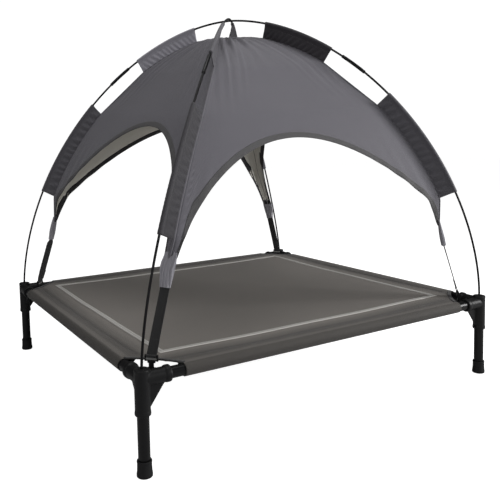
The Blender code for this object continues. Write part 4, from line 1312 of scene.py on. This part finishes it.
def hook_piece():
    """A slider frame, its sill and the hook below it; the pin lies on the local Y axis."""
    bm = bmesh.new()
    bm_turned(bm, [(0.0, -0.0122), (0.0016, -0.0122), (0.0016, 0.0122), (0.0, 0.0122)],
              Matrix.Rotation(-math.pi / 2, 4, "X"), 20)

    def block(x, y, z):
        bm_prism(bm, [(x[0], y[0]), (x[1], y[0]), (x[1], y[1]), (x[0], y[1])], z[0], z[1],
                 lambda u, v, t: Vector((u, v, t)))
    for s in (-1, 1):
        block((-0.0021, 0.0021), sorted((s * 0.0106, s * 0.0130)), (-0.0095, 0.0026))
        block((-0.0026, 0.0026), sorted((s * 0.0104, s * 0.0126)), (-0.0070, 0.0008))
    block((-0.0016, 0.0016), (-0.0125, 0.0125), (-0.0095, -0.0066))
    block((-0.0032, -0.0002), (-0.0048, 0.0048), (-0.0300, -0.0080))
    block((-0.0022, 0.0010), (-0.0075, 0.0075), (-0.0125, -0.0080))
    section = ((0.0290, -0.0046), (0.0317, -0.0046), (0.0317, 0.0046), (0.0290, 0.0046))
    bm_loft(bm, [[Vector((-math.sin(a) * r, y, -math.cos(a) * r)) for r, y in section]
                 for a in np.radians(np.linspace(-18, 7, 11))])
    return melt(bm, "hook_skin", PLASTIC, 0.00034, 3)


def make_hooks():
    hook = hook_piece()
    bar = swept("bar", [[(x * s, y, -0.0050 + z * s) for x, z in
                         ((-0.0019, -0.0016), (-0.0019, 0.0012), (-0.0015, 0.0016), (0.0015, 0.0016),
                          (0.0019, 0.0012), (0.0019, -0.0016))]
                        for y, s in ((-0.0104, 1.0), (-0.004, 1.0), (0.004, 1.0), (0.0104, 1.0))], [GREY_BAR])
    sharpen(bar, 30)
    for corner in CORNERS:
        leg, inward, side = connector_basis(corner)
        origin = leg + inward * HINGE[0] + np.array([0, 0, HINGE[1]])
        matrix = basis_matrix(inward, side, (0, 0, 1), origin)
        for piece, name, nodes, slot in ((hook, "hook_", ["strap_hook_" + corner], "black_plastic"),
                                         (bar, "hook_bar_", [], "black_steel")):
            copy = placed_copy(piece, name + corner, matrix)
            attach(copy, "hook_" + corner)
            if nodes:
                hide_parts(*nodes)
    for piece in (hook, bar):
        bpy.data.objects.remove(piece)


# ---- camera, floor and light ----
def make_camera():
    yaw, pitch, roll = (math.radians(a) for a in (30.12, 4.42, -1.27))
    forward = Vector((math.sin(yaw) * math.cos(pitch), math.cos(yaw) * math.cos(pitch), -math.sin(pitch)))
    level = Vector((math.cos(yaw), -math.sin(yaw), 0))
    up = level.cross(forward)
    right = level * math.cos(roll) + up * math.sin(roll)
    top = up * math.cos(roll) - level * math.sin(roll)
    data = bpy.data.cameras.new("camera")
    data.sensor_width = 36
    data.lens = 45.21
    data.shift_x = 0.08
    data.shift_y = -0.12
    camera = new_object("camera", data)
    camera.matrix_world = basis_matrix(right, top, -forward, (-0.8796, -1.3987, 0.5867))
    bpy.context.scene.camera = camera


def area_light(name, place, target, size, power):
    data = bpy.data.lights.new(name, "AREA")
    data.shape = "DISK"
    data.size = size
    data.energy = power
    turn = (Vector(target) - Vector(place)).to_track_quat("-Z", "Y").to_matrix().to_4x4()
    new_object(name, data).matrix_world = Matrix.Translation(place) @ turn


def seen_directly(tree, low, high, socket):
    """A strength for the studio's surfaces: high seen from the camera, low as light on the object."""
    path = tree.nodes.new("ShaderNodeLightPath")
    mix = tree.nodes.new("ShaderNodeMapRange")
    mix.inputs[3].default_value = low
    mix.inputs[4].default_value = high
    tree.links.new(path.outputs["Is Camera Ray"], mix.inputs[0])
    tree.links.new(mix.outputs[0], socket)


def make_stage():
    n = Nodes("studio_floor", (0.55, 0.55, 0.55), 0.9, specular_ior_level=0.1)
    n.set("Emission Color", (1, 1, 1, 1))
    seen_directly(n.tree, 0.02, 0.95, n.shader.inputs["Emission Strength"])
    size = 14.0
    square = [(x * size, y * size, 0) for x, y in CORNERS.values()]
    floor = add_piece("studio_floor", square, [(0, 1, 2, 3)], None, [n.material], None, False)
    world = bpy.data.worlds.new("studio")
    bpy.context.scene.world = world
    world.use_nodes = True
    tree = world.node_tree
    background = tree.nodes["Background"]
    background.inputs[0].default_value = (1, 1, 1, 1)
    seen_directly(tree, 0.09, 1.05, background.inputs[1])
    area_light("key", (2.4, -2.1, 1.3), (0.1, 0, 0.40), 1.4, 92)
    area_light("top", (-0.2, -0.3, 2.9), (0, 0, 0.3), 2.2, 32)
    area_light("fill", (-2.6, -0.9, 1.1), (0, 0, 0.4), 1.6, 14)
    area_light("front", (-0.7, -2.4, 1.0), (0, 0.1, 0.19), 1.8, 9)
    bpy.context.scene.view_settings.view_transform = "Standard"


def main():
    make_camera()
    make_stage()
    make_poles()
    make_frame()
    bed = make_bed()
    make_border_tape()
    canopy, area = make_canopy()
    with_canopy, rows = [], []
    for side in PANELS:
        piece, lines = make_hem(side)
        with_canopy.append(piece)
        rows += lines
    stitches("canopy_hem_stitching", rows, DARK_THREAD, "canopy_cloth")
    with_canopy += make_ridge_seams() + make_sleeves()
    with_canopy += [make_tab(corner) for corner in CORNERS]
    rows = []
    for corner in CORNERS:
        rows += make_strap(corner)
    stitches("webbing_stitching", rows, DARK_THREAD, "black_webbing",
             pitch=0.0030, length=0.0022, radius=0.0003)
    make_hooks()
    with_canopy += ["canopy_hem_stitching", "canopy_sleeve_stitching"]
    side = math.sqrt(area / CANOPY_SHARE)
    print("canopy cloth", round(area, 3), "m2")


main()
bpy.context.view_layer.update()
